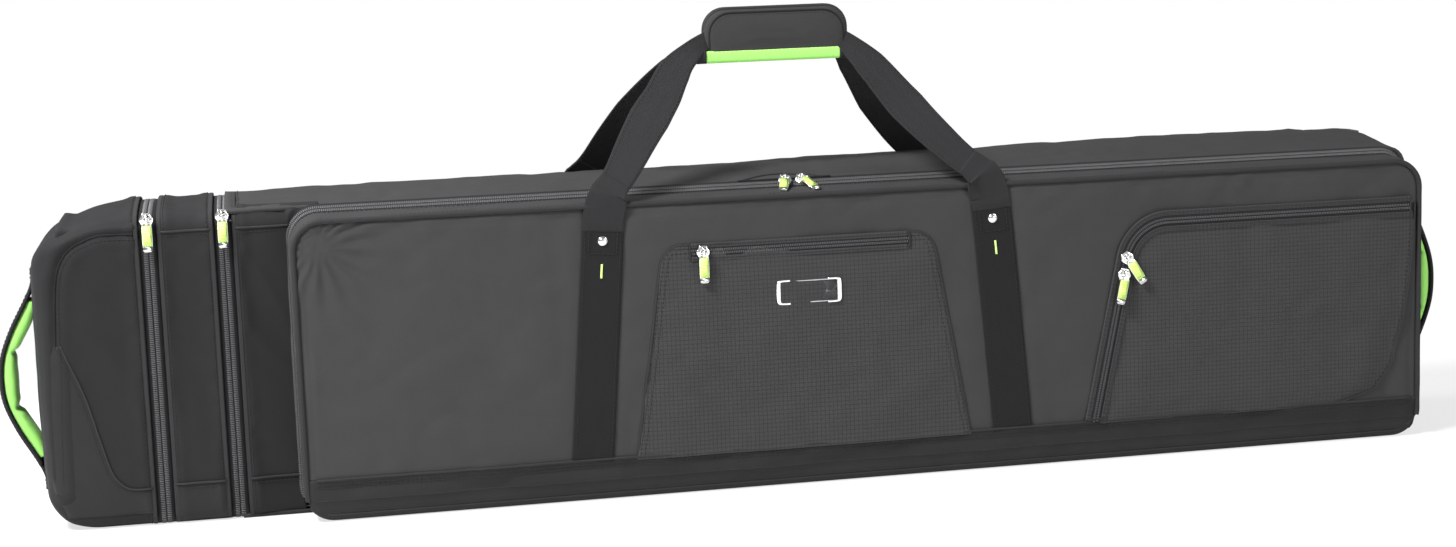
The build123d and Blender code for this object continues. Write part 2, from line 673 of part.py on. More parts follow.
# ---- write every sub-part --------------------------------------------------------------------
def main():
    os.makedirs("parts", exist_ok=True)
    save("back_panel", back_panel())
    save("top_panel", top_panel())
    save("base_panel", base_panel())
    save("right_end_panel", right_end_panel())
    save("front_strip", front_strip())
    save("stiffener_board", stiffener_board())
    save("zip_garage", zip_garage())
    save("main_chain_shell", main_chain(ZIP_Y + SEAM_GAP, SHELL_FRONT))
    save("main_chain_lid", main_chain(LID_REAR, ZIP_Y - SEAM_GAP))
    save("lid_panel", lid_panel())
    save("lid_gusset", lid_gusset())
    save("lid_webbing", sewn_webbing(LID_FRONT - WEB_T, LID_FRONT))
    save("rear_webbing", sewn_webbing(BACK, BACK + WEB_T))
    save("lid_rivets", rivets(LID_FRONT - WEB_T - RIVET_T, LID_FRONT - WEB_T))
    save("rear_rivets", rivets(BACK + WEB_T, BACK + WEB_T + RIVET_T))
    save("centre_pocket", centre_pocket())
    save("centre_pocket_chain", centre_pocket_chain())
    save("name_plate", name_plate())
    save("right_pocket", right_pocket())
    save("right_pocket_chain", right_pocket_chain())
    save("front_handle_webbing", carry_loop(-1))
    save("rear_handle_webbing", carry_loop(1))
    save("grip_front_pad", grip_pad(-1))
    save("grip_rear_pad", grip_pad(1))
    save("left_end_handle", end_handle(-1, LEFT_BOW, (SLEEVE_FRONT + BACK) / 2, LEFT_HANDLE_Z))
    save("right_end_handle", end_handle(1, RIGHT_BOW, RIGHT_HANDLE_Y, RIGHT_HANDLE_Z))
    save("cap_sleeve", cap_sleeve())
    save("band_sleeve", band_sleeve())
    save("cap_chain", sleeve_chain(CAP_RIGHT, OUTER_ZIP_X - SEAM_GAP))
    band_chains = [
        sleeve_chain(OUTER_ZIP_X + SEAM_GAP, BAND_LEFT),
        sleeve_chain(BAND_RIGHT, INNER_ZIP_X - SEAM_GAP),
    ]
    save("band_chains", Compound(children=band_chains))
    save("shell_expansion_chain", sleeve_chain(INNER_ZIP_X + SEAM_GAP, SHELL_LEFT))
    shell_fold_left = BAND_RIGHT - EXPANSION - GUSSET_OVERLAP
    band_fold_left = CAP_RIGHT - EXPANSION - GUSSET_OVERLAP
    shell_fold = folded_gusset(shell_fold_left, SHELL_LEFT + 4 * WALL, SHELL_GUSSET_OFFSET)
    save("shell_gusset_fold", shell_fold)
    save("band_gusset_fold", folded_gusset(band_fold_left, BAND_RIGHT, BAND_GUSSET_OFFSET))
    for name, (z0, flip) in zip(("upper", "lower"), WHEEL_PLACES):
        save("wheel_housing_" + name, wheel_housing(z0, flip))
        tyre, hub, bearings = wheel_parts(wheel_middle(z0, flip))
        save("tyre_" + name, tyre)
        save("hub_" + name, hub)
        save("bearings_" + name, bearings)
    save("axles", axles())
    write_sliders()
    save("tie_straps", tie_straps())
    save("buckle_sockets", buckle_sockets())
    for name, x in zip(("left", "right"), TIE_XS):
        save("buckle_insert_" + name, buckle_insert(x))


main()
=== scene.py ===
import json
import math

import bmesh
import bpy
import numpy as np
from mathutils import Matrix, Vector


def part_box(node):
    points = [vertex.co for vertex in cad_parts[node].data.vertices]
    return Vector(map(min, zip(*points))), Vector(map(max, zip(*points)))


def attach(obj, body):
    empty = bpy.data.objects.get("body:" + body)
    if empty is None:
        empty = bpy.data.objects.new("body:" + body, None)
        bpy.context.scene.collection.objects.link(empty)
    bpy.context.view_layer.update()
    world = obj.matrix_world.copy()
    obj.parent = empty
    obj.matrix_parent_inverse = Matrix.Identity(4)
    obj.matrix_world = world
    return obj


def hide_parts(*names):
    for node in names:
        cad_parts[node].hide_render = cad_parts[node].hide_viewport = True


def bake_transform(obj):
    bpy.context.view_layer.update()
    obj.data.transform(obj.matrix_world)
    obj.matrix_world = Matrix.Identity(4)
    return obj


# Looks of the snowboard bag, built around its CAD frame. Helper lengths are in millimetres in
# the frame's axes, and every mesh is written in metres.

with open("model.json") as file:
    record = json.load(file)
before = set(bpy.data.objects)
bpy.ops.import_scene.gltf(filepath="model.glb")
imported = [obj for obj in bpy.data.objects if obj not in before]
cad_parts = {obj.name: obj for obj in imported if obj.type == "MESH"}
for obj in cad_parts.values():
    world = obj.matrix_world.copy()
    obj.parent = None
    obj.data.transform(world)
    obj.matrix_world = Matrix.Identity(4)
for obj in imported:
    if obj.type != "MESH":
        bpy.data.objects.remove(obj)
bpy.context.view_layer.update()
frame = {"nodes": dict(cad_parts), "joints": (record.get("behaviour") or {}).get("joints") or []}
MM = 0.001


# ---- sizes read from the frame ---------------------------------------------------------------
def box_mm(node):
    """Lowest and highest corner of a CAD node in millimetres."""
    low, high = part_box(node)
    return np.array(low) / MM, np.array(high) / MM


lid_low, lid_high = box_mm("lid_panel")
LID_L, LID_R = lid_low[0], lid_high[0]
LID_FRONT = lid_low[1]
HINGE_Z = lid_low[2]
HEIGHT = lid_high[2]
LID_REAR = box_mm("lid_gusset")[1][1]
ZIP_Y = (box_mm("main_chain_lid")[1][1] + box_mm("main_chain_shell")[0][1]) / 2
SHELL_FRONT = box_mm("main_chain_shell")[1][1]
SLEEVE_FRONT = box_mm("band_sleeve")[0][1]
BACK = box_mm("back_panel")[1][1]
RIGHT = box_mm("back_panel")[1][0]
CAP_LEFT, CAP_RIGHT = box_mm("cap_sleeve")[0][0], box_mm("cap_sleeve")[1][0]
BAND_LEFT, BAND_RIGHT = box_mm("band_sleeve")[0][0], box_mm("band_sleeve")[1][0]
SHELL_LEFT = box_mm("front_strip")[0][0]
STUB_RIGHT = box_mm("front_strip")[1][0]
OUTER_ZIP_X = (CAP_RIGHT + BAND_LEFT) / 2
INNER_ZIP_X = (BAND_RIGHT + SHELL_LEFT) / 2
HOUSING_LEFT, HOUSING_FRONT = box_mm("wheel_housing_upper")[0][:2]
HOUSING_UNDER = box_mm("wheel_housing_upper")[0][2]
HOUSING_OVER = box_mm("wheel_housing_lower")[1][2]
CORNER_R = 36.0
LONG_R = 14.0


# ---- small maths -----------------------------------------------------------------------------
def smooth(t):
    """Smooth step of t clamped to 0..1."""
    t = np.clip(t, 0.0, 1.0)
    return t * t * (3.0 - 2.0 * t)


def lattice(ix, iy, seed):
    """Repeatable pseudo-random value for integer lattice points."""
    mixed = np.sin(ix * 127.1 + iy * 311.7 + seed * 74.7) * 43758.5453
    return mixed - np.floor(mixed)


def value_noise(x, y, seed):
    """Smooth noise in -1..1 over the plane."""
    ix, iy = np.floor(x), np.floor(y)
    fx, fy = smooth(x - ix), smooth(y - iy)
    low = lattice(ix, iy, seed) * (1 - fx) + lattice(ix + 1, iy, seed) * fx
    high = lattice(ix, iy + 1, seed) * (1 - fx) + lattice(ix + 1, iy + 1, seed) * fx
    return 2.0 * (low * (1 - fy) + high * fy) - 1.0


def creases(x, y, seed):
    """Soft folds: broad noise with narrower folds on top."""
    broad = value_noise(x / 120.0, y / 90.0, seed)
    bent = x + 30.0 * value_noise(x / 80.0, y / 80.0, seed + 5)
    fine = value_noise(bent / 34.0, y / 60.0, seed + 9)
    sharp = 1.0 - 2.0 * np.abs(value_noise((x + y) / 75.0, (y - 0.6 * x) / 42.0, seed + 13))
    return 0.6 * broad + 0.4 * fine + 0.22 * sharp


def rounded_distance(x, z, x0, x1, z0, z1, radius):
    """Distance inside a rounded rectangle's edge; negative outside."""
    half_x, half_z = (x1 - x0) / 2, (z1 - z0) / 2
    qx = np.abs(x - (x0 + x1) / 2) - half_x + radius
    qz = np.abs(z - (z0 + z1) / 2) - half_z + radius
    outside = np.hypot(np.maximum(qx, 0), np.maximum(qz, 0))
    return radius - outside - np.minimum(np.maximum(qx, qz), 0)


def spaced(start, stop, step):
    """Evenly spaced values from start to stop, about step apart."""
    return np.linspace(start, stop, max(2, int(round(abs(stop - start) / step)) + 1))


def arc_points(cx, cy, radius, start_deg, stop_deg, count):
    """Points on an arc in a plane."""
    angles = np.radians(np.linspace(start_deg, stop_deg, count))
    return np.stack([cx + radius * np.cos(angles), cy + radius * np.sin(angles)], axis=1)


def resample(points, step):
    """Points along a polyline about step apart, ends kept."""
    points = np.asarray(points, float)
    lengths = np.linalg.norm(np.diff(points, axis=0), axis=1)
    keep = np.concatenate([[True], lengths > 1e-6])
    points = points[keep]
    run = np.concatenate([[0.0], np.cumsum(np.linalg.norm(np.diff(points, axis=0), axis=1))])
    stops = spaced(0.0, run[-1], step)
    return np.stack([np.interp(stops, run, points[:, k]) for k in range(points.shape[1])], axis=1)


def catmull(points, step):
    """Smooth curve through control points, resampled about step apart."""
    points = np.asarray(points, float)
    padded = np.vstack([2 * points[0] - points[1], points, 2 * points[-1] - points[-2]])
    out = []
    for i in range(1, len(padded) - 2):
        p0, p1, p2, p3 = padded[i - 1:i + 3]
        t = np.linspace(0, 1, 24, endpoint=False)[:, None]
        out.append(0.5 * (2 * p1 + (p2 - p0) * t + (2 * p0 - 5 * p1 + 4 * p2 - p3) * t**2
                          + (3 * p1 - p0 - 3 * p2 + p3) * t**3))
    return resample(np.vstack(out + [points[-1:]]), step)


def unit(v):
    """Rows of v scaled to length one."""
    return v / np.maximum(np.linalg.norm(v, axis=-1, keepdims=True), 1e-12)


# ---- mesh making -----------------------------------------------------------------------------
def link(name, mesh, material, body):
    """Turn a mesh into a named piece on a body."""
    piece = bpy.data.objects.new(name, mesh)
    bpy.context.scene.collection.objects.link(piece)
    mesh.materials.clear()
    mesh.materials.append(material)
    if body:
        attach(piece, body)
    return piece


def mesh_from(name, verts, faces, uvs=None):
    """Mesh from millimetre points, with smooth faces and optional UVs per vertex in metres."""
    mesh = bpy.data.meshes.new(name)
    mesh.from_pydata((np.asarray(verts) * MM).tolist(), [], [tuple(int(i) for i in f) for f in faces])
    mesh.polygons.foreach_set("use_smooth", [True] * len(mesh.polygons))
    if uvs is not None:
        layer = mesh.uv_layers.new(name="UVMap")
        index = np.zeros(len(mesh.loops), int)
        mesh.loops.foreach_get("vertex_index", index)
        layer.data.foreach_set("uv", (np.asarray(uvs) * MM)[index].astype(np.float32).ravel())
    mesh.update()
    return mesh


def grid_faces(nu, nv, wrap_v=False):
    """Quads of a grid whose points are stored row by row."""
    columns = nv if wrap_v else nv - 1
    i, j = np.meshgrid(np.arange(nu - 1), np.arange(columns), indexing="ij")
    i, j = i.ravel(), j.ravel()
    k = (j + 1) % nv
    return np.stack([i * nv + j, i * nv + k, (i + 1) * nv + k, (i + 1) * nv + j], axis=1)


def grid_uv(points):
    """Arc-length UVs of a grid of points."""
    along = np.linalg.norm(np.diff(points, axis=0), axis=2).mean(axis=1)
    across = np.linalg.norm(np.diff(points, axis=1), axis=2).mean(axis=0)
    u = np.concatenate([[0.0], np.cumsum(along)])
    v = np.concatenate([[0.0], np.cumsum(across)])
    uu, vv = np.meshgrid(u, v, indexing="ij")
    return np.stack([uu.ravel(), vv.ravel()], axis=1)


def grid_normals(points):
    """Unit normals of a grid of points."""
    du = np.gradient(points, axis=0)
    dv = np.gradient(points, axis=1)
    return unit(np.cross(du, dv))


def sheet(name, points, thickness, material, body, inward=None, drop=None):
    """Closed fabric sheet: a grid of outer points and a copy set back by its thickness.

    inward is a point on the hidden side, which settles the side the copy goes to.
    drop marks grid faces to leave out, as a function of face-centre x, y and z.
    """
    nu, nv, _ = points.shape
    normals = grid_normals(points)
    if inward is not None:
        to_inside = np.asarray(inward, float) - points
        if np.sum(normals * to_inside, axis=2).mean() > 0:
            normals = -normals
    outer = points.reshape(-1, 3)
    inner = (points - normals * thickness).reshape(-1, 3)
    faces = grid_faces(nu, nv)
    if drop is not None:
        centres = outer[faces].mean(axis=1)
        faces = faces[~drop(centres[:, 0], centres[:, 1], centres[:, 2])]
    count = len(outer)
    edges = {}
    for a, b, c, d in faces:
        for edge in ((a, b), (b, c), (c, d), (d, a)):
            key = (min(edge), max(edge))
            edges[key] = None if key in edges else edge
    rims = [(e[1], e[0], e[0] + count, e[1] + count) for e in edges.values() if e]
    everything = [tuple(f) for f in faces] + [tuple(f[::-1] + count) for f in faces] + rims
    uv = grid_uv(points)
    mesh = mesh_from(name, np.vstack([outer, inner]), everything, np.vstack([uv, uv]))
    used = bmesh.new()
    used.from_mesh(mesh)
    loose = [v for v in used.verts if not v.link_faces]
    bmesh.ops.delete(used, geom=loose, context="VERTS")
    bmesh.ops.recalc_face_normals(used, faces=used.faces)
    used.to_mesh(mesh)
    used.free()
    return link(name, mesh, material, body)


def path_frames(path, up):
    """Tangent, side and up vectors along a path; up is one vector or one per point."""
    tangent = unit(np.gradient(path, axis=0))
    up = np.broadcast_to(np.asarray(up, float), path.shape)
    side = unit(np.cross(tangent, up))
    return tangent, side, unit(np.cross(side, tangent))


def swept(path, up, profile, scale=None):
    """Grid of points from sweeping a closed profile of (side, up) offsets along a path.

    scale has a (side, up) factor for every point of the path.
    """
    _, side, lift = path_frames(path, up)
    profile = np.broadcast_to(np.asarray(profile, float), (len(path), len(profile), 2))
    if scale is not None:
        profile = profile * np.asarray(scale, float)[:, None, :]
    return path[:, None, :] + side[:, None, :] * profile[:, :, 0:1] + lift[:, None, :] * profile[:, :, 1:2]


def capped(rings):
    """Vertices, faces and UVs of a closed tube through rings of points."""
    nu, nv, _ = rings.shape
    faces = [tuple(f) for f in grid_faces(nu, nv, wrap_v=True)]
    faces.append(tuple(range(nv))[::-1])
    faces.append(tuple(range((nu - 1) * nv, nu * nv)))
    return rings.reshape(-1, 3), faces, grid_uv(np.concatenate([rings, rings[:, :1]], axis=1)[:, :nv])


def bar(name, path, up, profile, material, body, scale=None):
    """Closed solid bar along a path."""
    verts, faces, uv = capped(swept(np.asarray(path, float), up, profile, scale))
    mesh = mesh_from(name, verts, faces, uv)
    tidy_normals(mesh)
    return link(name, mesh, material, body)


def tidy_normals(mesh):
    """Make all faces of a mesh point outwards."""
    work = bmesh.new()
    work.from_mesh(mesh)
    bmesh.ops.recalc_face_normals(work, faces=work.faces)
    work.to_mesh(mesh)
    work.free()


def circle_profile(radius, count=10):
    angles = np.linspace(0, 2 * math.pi, count, endpoint=False)
    return np.stack([radius * np.cos(angles), radius * np.sin(angles)], axis=1)


def flat_profile(width, thickness, edge=1.0, ribs=0):
    """Rounded flat section, its flat sides facing up and down."""
    xs = np.linspace(-width / 2 + edge, width / 2 - edge, 7 + 2 * ribs)
    top = np.stack([xs, np.full(len(xs), thickness / 2)], axis=1)
    if ribs:
        top[1:-1:2, 1] -= thickness * 0.12
    right = [[width / 2, thickness * 0.25], [width / 2, -thickness * 0.25]]
    left = [[-width / 2, -thickness * 0.25], [-width / 2, thickness * 0.25]]
    return np.vstack([top, right, top[::-1] * [1, -1], left])


def joined(name, chunks, material, body):
    """One piece from several (verts, faces, uvs) solids."""
    verts, faces, uvs, start = [], [], [], 0
    for v, f, uv in chunks:
        verts.append(v)
        uvs.append(uv)
        faces.extend(tuple(i + start for i in face) for face in f)
        start += len(v)
    mesh = mesh_from(name, np.vstack(verts), faces, np.vstack(uvs))
    tidy_normals(mesh)
    return link(name, mesh, material, body)


def scatter(path, up, pitch, template, lift=0.0, start=0.0):
    """Copies of a template (points in tangent, side, up order, and faces) along a path."""
    path = np.asarray(path, float)
    up = np.broadcast_to(np.asarray(up, float), path.shape)
    run = np.concatenate([[0.0], np.cumsum(np.linalg.norm(np.diff(path, axis=0), axis=1))])
    stops = np.arange(start + pitch / 2, run[-1], pitch)
    centre = np.stack([np.interp(stops, run, path[:, k]) for k in range(3)], axis=1)
    ahead = np.stack([np.interp(stops + 0.5, run, path[:, k]) for k in range(3)], axis=1)
    behind = np.stack([np.interp(stops - 0.5, run, path[:, k]) for k in range(3)], axis=1)
    normal = unit(np.stack([np.interp(stops, run, up[:, k]) for k in range(3)], axis=1))
    tangent = unit(ahead - behind)
    side = unit(np.cross(tangent, normal))
    centre = centre + normal * lift
    points, faces = template
    verts = (centre[:, None] + tangent[:, None] * points[None, :, 0:1]
             + side[:, None] * points[None, :, 1:2] + normal[:, None] * points[None, :, 2:3])
    count = len(points)
    everything = [tuple(i + k * count for i in f) for k in range(len(stops)) for f in faces]
    uv = np.tile(points[:, :2], (len(stops), 1))
    return verts.reshape(-1, 3), everything, uv


def capsule(axis, start, stop, radius, squash=1.0, sides=6):
    """Small bar along the tangent (axis 0) or side (axis 1) direction, for stitches and zip teeth."""
    shape = [(0.0, 0.45), (0.12, 0.95), (0.5, 1.0), (0.88, 0.95), (1.0, 0.45)]
    rings = []
    for along, width in shape:
        centre = np.zeros((sides, 3))
        centre[:, axis] = start + (stop - start) * along
        ring = circle_profile(radius * width, sides)
        centre[:, 1 - axis] += ring[:, 0]
        centre[:, 2] += ring[:, 1] * squash
        rings.append(centre)
    verts, faces, _ = capped(np.array(rings))
    return verts, faces


STITCH = capsule(0, -1.7, 1.7, 0.42)
STITCH_PITCH = 5.4


def stitch_row(name, path, up, material, body, lift=0.15):
    """Row of thread stitches along a path on a surface."""
    return joined(name, [scatter(path, up, STITCH_PITCH, STITCH, lift)], material, body)


# ---- materials -------------------------------------------------------------------------------
class Nodes:
    """Short way to wire a material's nodes."""

    def __init__(self, name):
        self.material = bpy.data.materials.new(name)
        self.material.use_nodes = True
        self.tree = self.material.node_tree
        self.shader = self.tree.nodes["Principled BSDF"]

    def node(self, kind, **settings):
        made = self.tree.nodes.new(kind)
        for key, value in settings.items():
            setattr(made, key, value)
        return made

    def feed(self, source, target):
        self.tree.links.new(source, target)

    def set(self, node, **values):
        for key, value in values.items():
            node.inputs[key.replace("_", " ")].default_value = value
        return node

    def maths(self, operation, a, b=None, c=None, clamp=False):
        made = self.node("ShaderNodeMath", operation=operation, use_clamp=clamp)
        for socket, value in zip(made.inputs, (a, b, c)):
            if value is None:
                continue
            if isinstance(value, (int, float)):
                socket.default_value = value
            else:
                self.feed(value, socket)
        return made.outputs[0]

    def noise(self, vector, scale, detail=2.0, rough=0.5, stretch=None):
        if stretch is not None:
            mapping = self.node("ShaderNodeMapping")
            mapping.inputs["Scale"].default_value = stretch
            self.feed(vector, mapping.inputs["Vector"])
            vector = mapping.outputs[0]
        made = self.node("ShaderNodeTexNoise")
        self.feed(vector, made.inputs["Vector"])
        self.set(made, Scale=scale, Detail=detail, Roughness=rough)
        return made.outputs["Fac"]

    def blend(self, factor, dark, light):
        made = self.node("ShaderNodeMix", data_type="RGBA")
        self.feed(factor, made.inputs["Factor"])
        for socket, value in ((made.inputs[6], dark), (made.inputs[7], light)):
            if isinstance(value, tuple):
                socket.default_value = (*value, 1.0)
            else:
                self.feed(value, socket)
        return made.outputs[2]

    def bump(self, height, strength, distance):
        made = self.node("ShaderNodeBump")
        self.feed(height, made.inputs["Height"])
        self.set(made, Strength=strength, Distance=distance)
        return made.outputs["Normal"]


def shade(colour, factor):
    return tuple(min(1.0, c * factor) for c in colour)


def wave(n, coordinate, pitch):
    """0..1 wave of a coordinate in metres, one crest per pitch."""
    turns = n.maths("MULTIPLY", coordinate, 2 * math.pi / pitch)
    return n.maths("MULTIPLY_ADD", n.maths("SINE", turns), 0.5, 0.5)


def grid_line(n, coordinate, pitch, width):
    """1 on thin lines one pitch apart, 0 between them."""
    share = n.maths("FRACT", n.maths("MULTIPLY", coordinate, 1.0 / pitch))
    off = n.maths("ABSOLUTE", n.maths("SUBTRACT", share, 0.5))
    return n.maths("LESS_THAN", off, width)


def woven(name, colour, pitch=0.0011, ripstop=0.0, rough=0.72, sheen=0.35, depth=0.00022, worn=0.3):
    """Plain-weave fabric: yarn bump, slub, optional ripstop grid, soft colour variation, worn folds."""
    n = Nodes(name)
    uv = n.node("ShaderNodeTexCoord")
    split = n.node("ShaderNodeSeparateXYZ")
    n.feed(uv.outputs["UV"], split.inputs[0])
    warp, weft = split.outputs[0], split.outputs[1]
    yarn_a, yarn_b = wave(n, warp, pitch), wave(n, weft, pitch)
    weave = n.maths("ABSOLUTE", n.maths("SUBTRACT", yarn_a, yarn_b))
    slub = n.noise(uv.outputs["UV"], 1.0, 3.0, 0.6, (260.0, 1500.0, 1.0))
    slub_up = n.noise(uv.outputs["UV"], 1.0, 3.0, 0.6, (1500.0, 260.0, 1.0))
    broad = n.noise(uv.outputs["Object"], 5.0, 4.0, 0.6)
    mottled = n.noise(uv.outputs["Object"], 42.0, 5.0, 0.65)
    tone = n.maths("MULTIPLY_ADD", broad, 0.5, n.maths("MULTIPLY", mottled, 0.5))
    tone = n.maths("MULTIPLY_ADD", tone, 2.6, -0.8, clamp=True)
    base = n.blend(tone, shade(colour, 0.82), shade(colour, 1.18))
    thread = n.maths("MULTIPLY_ADD", n.maths("ADD", slub, slub_up), 0.5, n.maths("MULTIPLY", weave, 0.35))
    with_yarn = n.blend(n.maths("MULTIPLY_ADD", thread, 0.9, -0.25, clamp=True), shade(colour, 0.72), base)
    height = n.maths("MULTIPLY_ADD", weave, 0.6, n.maths("ADD", slub, slub_up))
    if ripstop:
        lines = n.maths("MAXIMUM", grid_line(n, warp, ripstop, 0.07), grid_line(n, weft, ripstop, 0.07))
        with_yarn = n.blend(n.maths("MULTIPLY", lines, 0.75), with_yarn, shade(colour, 0.45))
        height = n.maths("MULTIPLY_ADD", lines, 0.8, height)
    geometry = n.node("ShaderNodeNewGeometry")
    edge = n.maths("MULTIPLY_ADD", geometry.outputs["Pointiness"], 9.0, -4.55, clamp=True)
    edge = n.maths("MULTIPLY", edge, worn)
    final = n.blend(n.maths("MULTIPLY", edge, mottled), with_yarn, shade(colour, 2.1))
    n.feed(final, n.shader.inputs["Base Color"])
    n.feed(n.maths("MULTIPLY_ADD", slub, 0.18, rough - 0.09), n.shader.inputs["Roughness"])
    n.feed(n.bump(height, 0.55, depth), n.shader.inputs["Normal"])
    n.set(n.shader, Sheen_Weight=sheen, Sheen_Roughness=0.45)
    n.shader.inputs["Sheen Tint"].default_value = (0.8, 0.82, 0.85, 1.0)
    n.shader.inputs["Specular IOR Level"].default_value = 0.06
    return n.material


def ribbed(name, colour, rib=0.0021, slant=1.0, rough=0.68, depth=0.0005):
    """Webbing: slanted ribs across the strap, edge cords, lighter worn crests."""
    n = Nodes(name)
    uv = n.node("ShaderNodeTexCoord")
    split = n.node("ShaderNodeSeparateXYZ")
    n.feed(uv.outputs["UV"], split.inputs[0])
    along, across = split.outputs[0], split.outputs[1]
    fold = n.maths("PINGPONG", across, 0.006)
    ribs = wave(n, n.maths("MULTIPLY_ADD", fold, slant, along), rib)
    cross = wave(n, across, rib * 0.8)
    fuzz = n.noise(uv.outputs["UV"], 1.0, 4.0, 0.65, (900.0, 900.0, 1.0))
    broad = n.noise(uv.outputs["Object"], 9.0, 3.0, 0.6)
    height = n.maths("MULTIPLY_ADD", ribs, 0.75, n.maths("MULTIPLY_ADD", cross, 0.25, fuzz))
    tone = n.maths("MULTIPLY_ADD", ribs, 0.45, n.maths("MULTIPLY", fuzz, 0.55), clamp=True)
    body = n.blend(tone, shade(colour, 0.62), shade(colour, 1.35))
    final = n.blend(n.maths("MULTIPLY", broad, 0.35), body, shade(colour, 1.5))
    n.feed(final, n.shader.inputs["Base Color"])
    n.feed(n.maths("MULTIPLY_ADD", fuzz, 0.2, rough - 0.1), n.shader.inputs["Roughness"])
    n.feed(n.bump(height, 0.6, depth), n.shader.inputs["Normal"])
    n.set(n.shader, Sheen_Weight=0.02, Sheen_Roughness=0.5)
    n.shader.inputs["Specular IOR Level"].default_value = 0.08
    return n.material


def moulded(name, colour, rough=0.5, grain=900.0, depth=0.00012, spec=0.4):
    """Moulded plastic or rubber with a fine spark-eroded grain, scuffs and paler edges."""
    n = Nodes(name)
    place = n.node("ShaderNodeTexCoord").outputs["Object"]
    fine = n.noise(place, grain, 3.0, 0.6)
    scuff = n.noise(place, 26.0, 6.0, 0.7)
    base = n.blend(scuff, shade(colour, 0.78), shade(colour, 1.25))
    geometry = n.node("ShaderNodeNewGeometry")
    edge = n.maths("MULTIPLY_ADD", geometry.outputs["Pointiness"], 8.0, -4.1, clamp=True)
    final = n.blend(n.maths("MULTIPLY", edge, 0.35), base, shade(colour, 2.6))
    n.feed(final, n.shader.inputs["Base Color"])
    n.feed(n.maths("MULTIPLY_ADD", scuff, 0.22, rough - 0.11), n.shader.inputs["Roughness"])
    n.feed(n.bump(fine, 0.4, depth), n.shader.inputs["Normal"])
    n.shader.inputs["Specular IOR Level"].default_value = spec
    return n.material


def metal(name, colour, rough=0.22, brushed=0.0):
    """Plated metal with faint smudges; brushed adds grain along the piece."""
    n = Nodes(name)
    place = n.node("ShaderNodeTexCoord").outputs["Object"]
    smudge = n.noise(place, 90.0, 5.0, 0.7)
    grain = n.noise(place, 1.0, 2.0, 0.5, (60.0, 60.0, 5200.0))
    n.feed(n.blend(smudge, shade(colour, 0.86), shade(colour, 1.08)), n.shader.inputs["Base Color"])
    uneven = n.maths("MULTIPLY_ADD", smudge, 0.16, rough - 0.06)
    n.feed(n.maths("MULTIPLY_ADD", grain, brushed * 0.25, uneven), n.shader.inputs["Roughness"])
    n.feed(n.bump(grain, 0.15 + 0.5 * brushed, 0.00006), n.shader.inputs["Normal"])
    n.shader.inputs["Metallic"].default_value = 1.0
    return n.material


SHELL = woven("shell_fabric", (0.047, 0.047, 0.048), sheen=0.02)
# Darker copy of the shell fabric for the end cap, band and collar: the darkness is partly the fabric's own
# and partly painted shade for sections that lie back and face away from the light.
SECTION_PAINTED_SHADE = woven("section_fabric_painted_shade", (0.022, 0.022, 0.023), sheen=0.02)
RIPSTOP = woven("ripstop_fabric", (0.050, 0.050, 0.051), ripstop=0.0052, sheen=0.02)
BASE = woven("base_fabric", (0.026, 0.026, 0.027), pitch=0.0015, rough=0.62, depth=0.0003, sheen=0.02)
TOPCLOTH = woven("top_fabric", (0.042, 0.042, 0.043), sheen=0.02)
GUSSET = woven("gusset_fabric", (0.022, 0.022, 0.024), pitch=0.0009, rough=0.66, sheen=0.02)
LINING = woven("lining_fabric", (0.12, 0.122, 0.126), pitch=0.0009, rough=0.6, sheen=0.1, worn=0.1)
TAPE = ribbed("zip_tape", (0.013, 0.013, 0.014), rib=0.0012, slant=0.0, depth=0.0002)
WEBBING = ribbed("webbing", (0.019, 0.019, 0.020))
SEWN_WEB = ribbed("sewn_webbing", (0.0115, 0.0115, 0.0122))
PIPING = ribbed("piping_fabric", (0.024, 0.024, 0.025), rib=0.0016, slant=0.6, depth=0.00025)
THREAD = ribbed("thread", (0.022, 0.022, 0.023), rib=0.0007, slant=0.4, depth=0.0001)
LIME = woven("lime_fabric", (0.36, 0.82, 0.18), pitch=0.0013, rough=0.6, sheen=0.1, worn=0.0)
LIME_THREAD = ribbed("lime_thread", (0.52, 0.80, 0.22), rib=0.0008, slant=0.3, depth=0.0001)
GRIP = woven("grip_fabric", (0.042, 0.042, 0.043), pitch=0.0017, rough=0.8, depth=0.0004, sheen=0.02)
# Both coil colours are lighter than the black tape as a painted highlight on the teeth. The main zip's coil
# is the brighter copy, and all other zips share the dimmer one.
COIL_PAINTED_HIGHLIGHT = moulded("zip_coil", (0.07, 0.07, 0.072), rough=0.36, grain=2000.0)
COIL_DARK = moulded("zip_coil_dark", (0.045, 0.045, 0.047), rough=0.42, grain=2000.0)
NICKEL = metal("nickel", (0.86, 0.86, 0.85))
DARK_METAL = metal("plate_metal", (0.10, 0.10, 0.105), rough=0.34, brushed=1.0)
STEEL = metal("steel", (0.58, 0.58, 0.60), rough=0.3, brushed=0.4)
PULL_LIME = moulded("pull_trim", (0.47, 0.80, 0.15), rough=0.42, grain=1400.0)
BOARD = moulded("board_plastic", (0.09, 0.09, 0.10), rough=0.55, grain=500.0)
HOUSING = moulded("housing_plastic", (0.024, 0.024, 0.026), rough=0.5)
TYRE = moulded("tyre_rubber", (0.020, 0.020, 0.022), rough=0.62, grain=1500.0)
HUB = moulded("hub_plastic", (0.050, 0.050, 0.055), rough=0.34)
BUCKLE = moulded("buckle_plastic", (0.024, 0.024, 0.026), rough=0.36)


# ---- joints as placed in the frame -----------------------------------------------------------
JOINTS = {j["name"]: j for j in frame["joints"]}


def joint_mm(name):
    """Position of a joint in millimetres."""
    return np.array(JOINTS[name]["pos_m"]) / MM


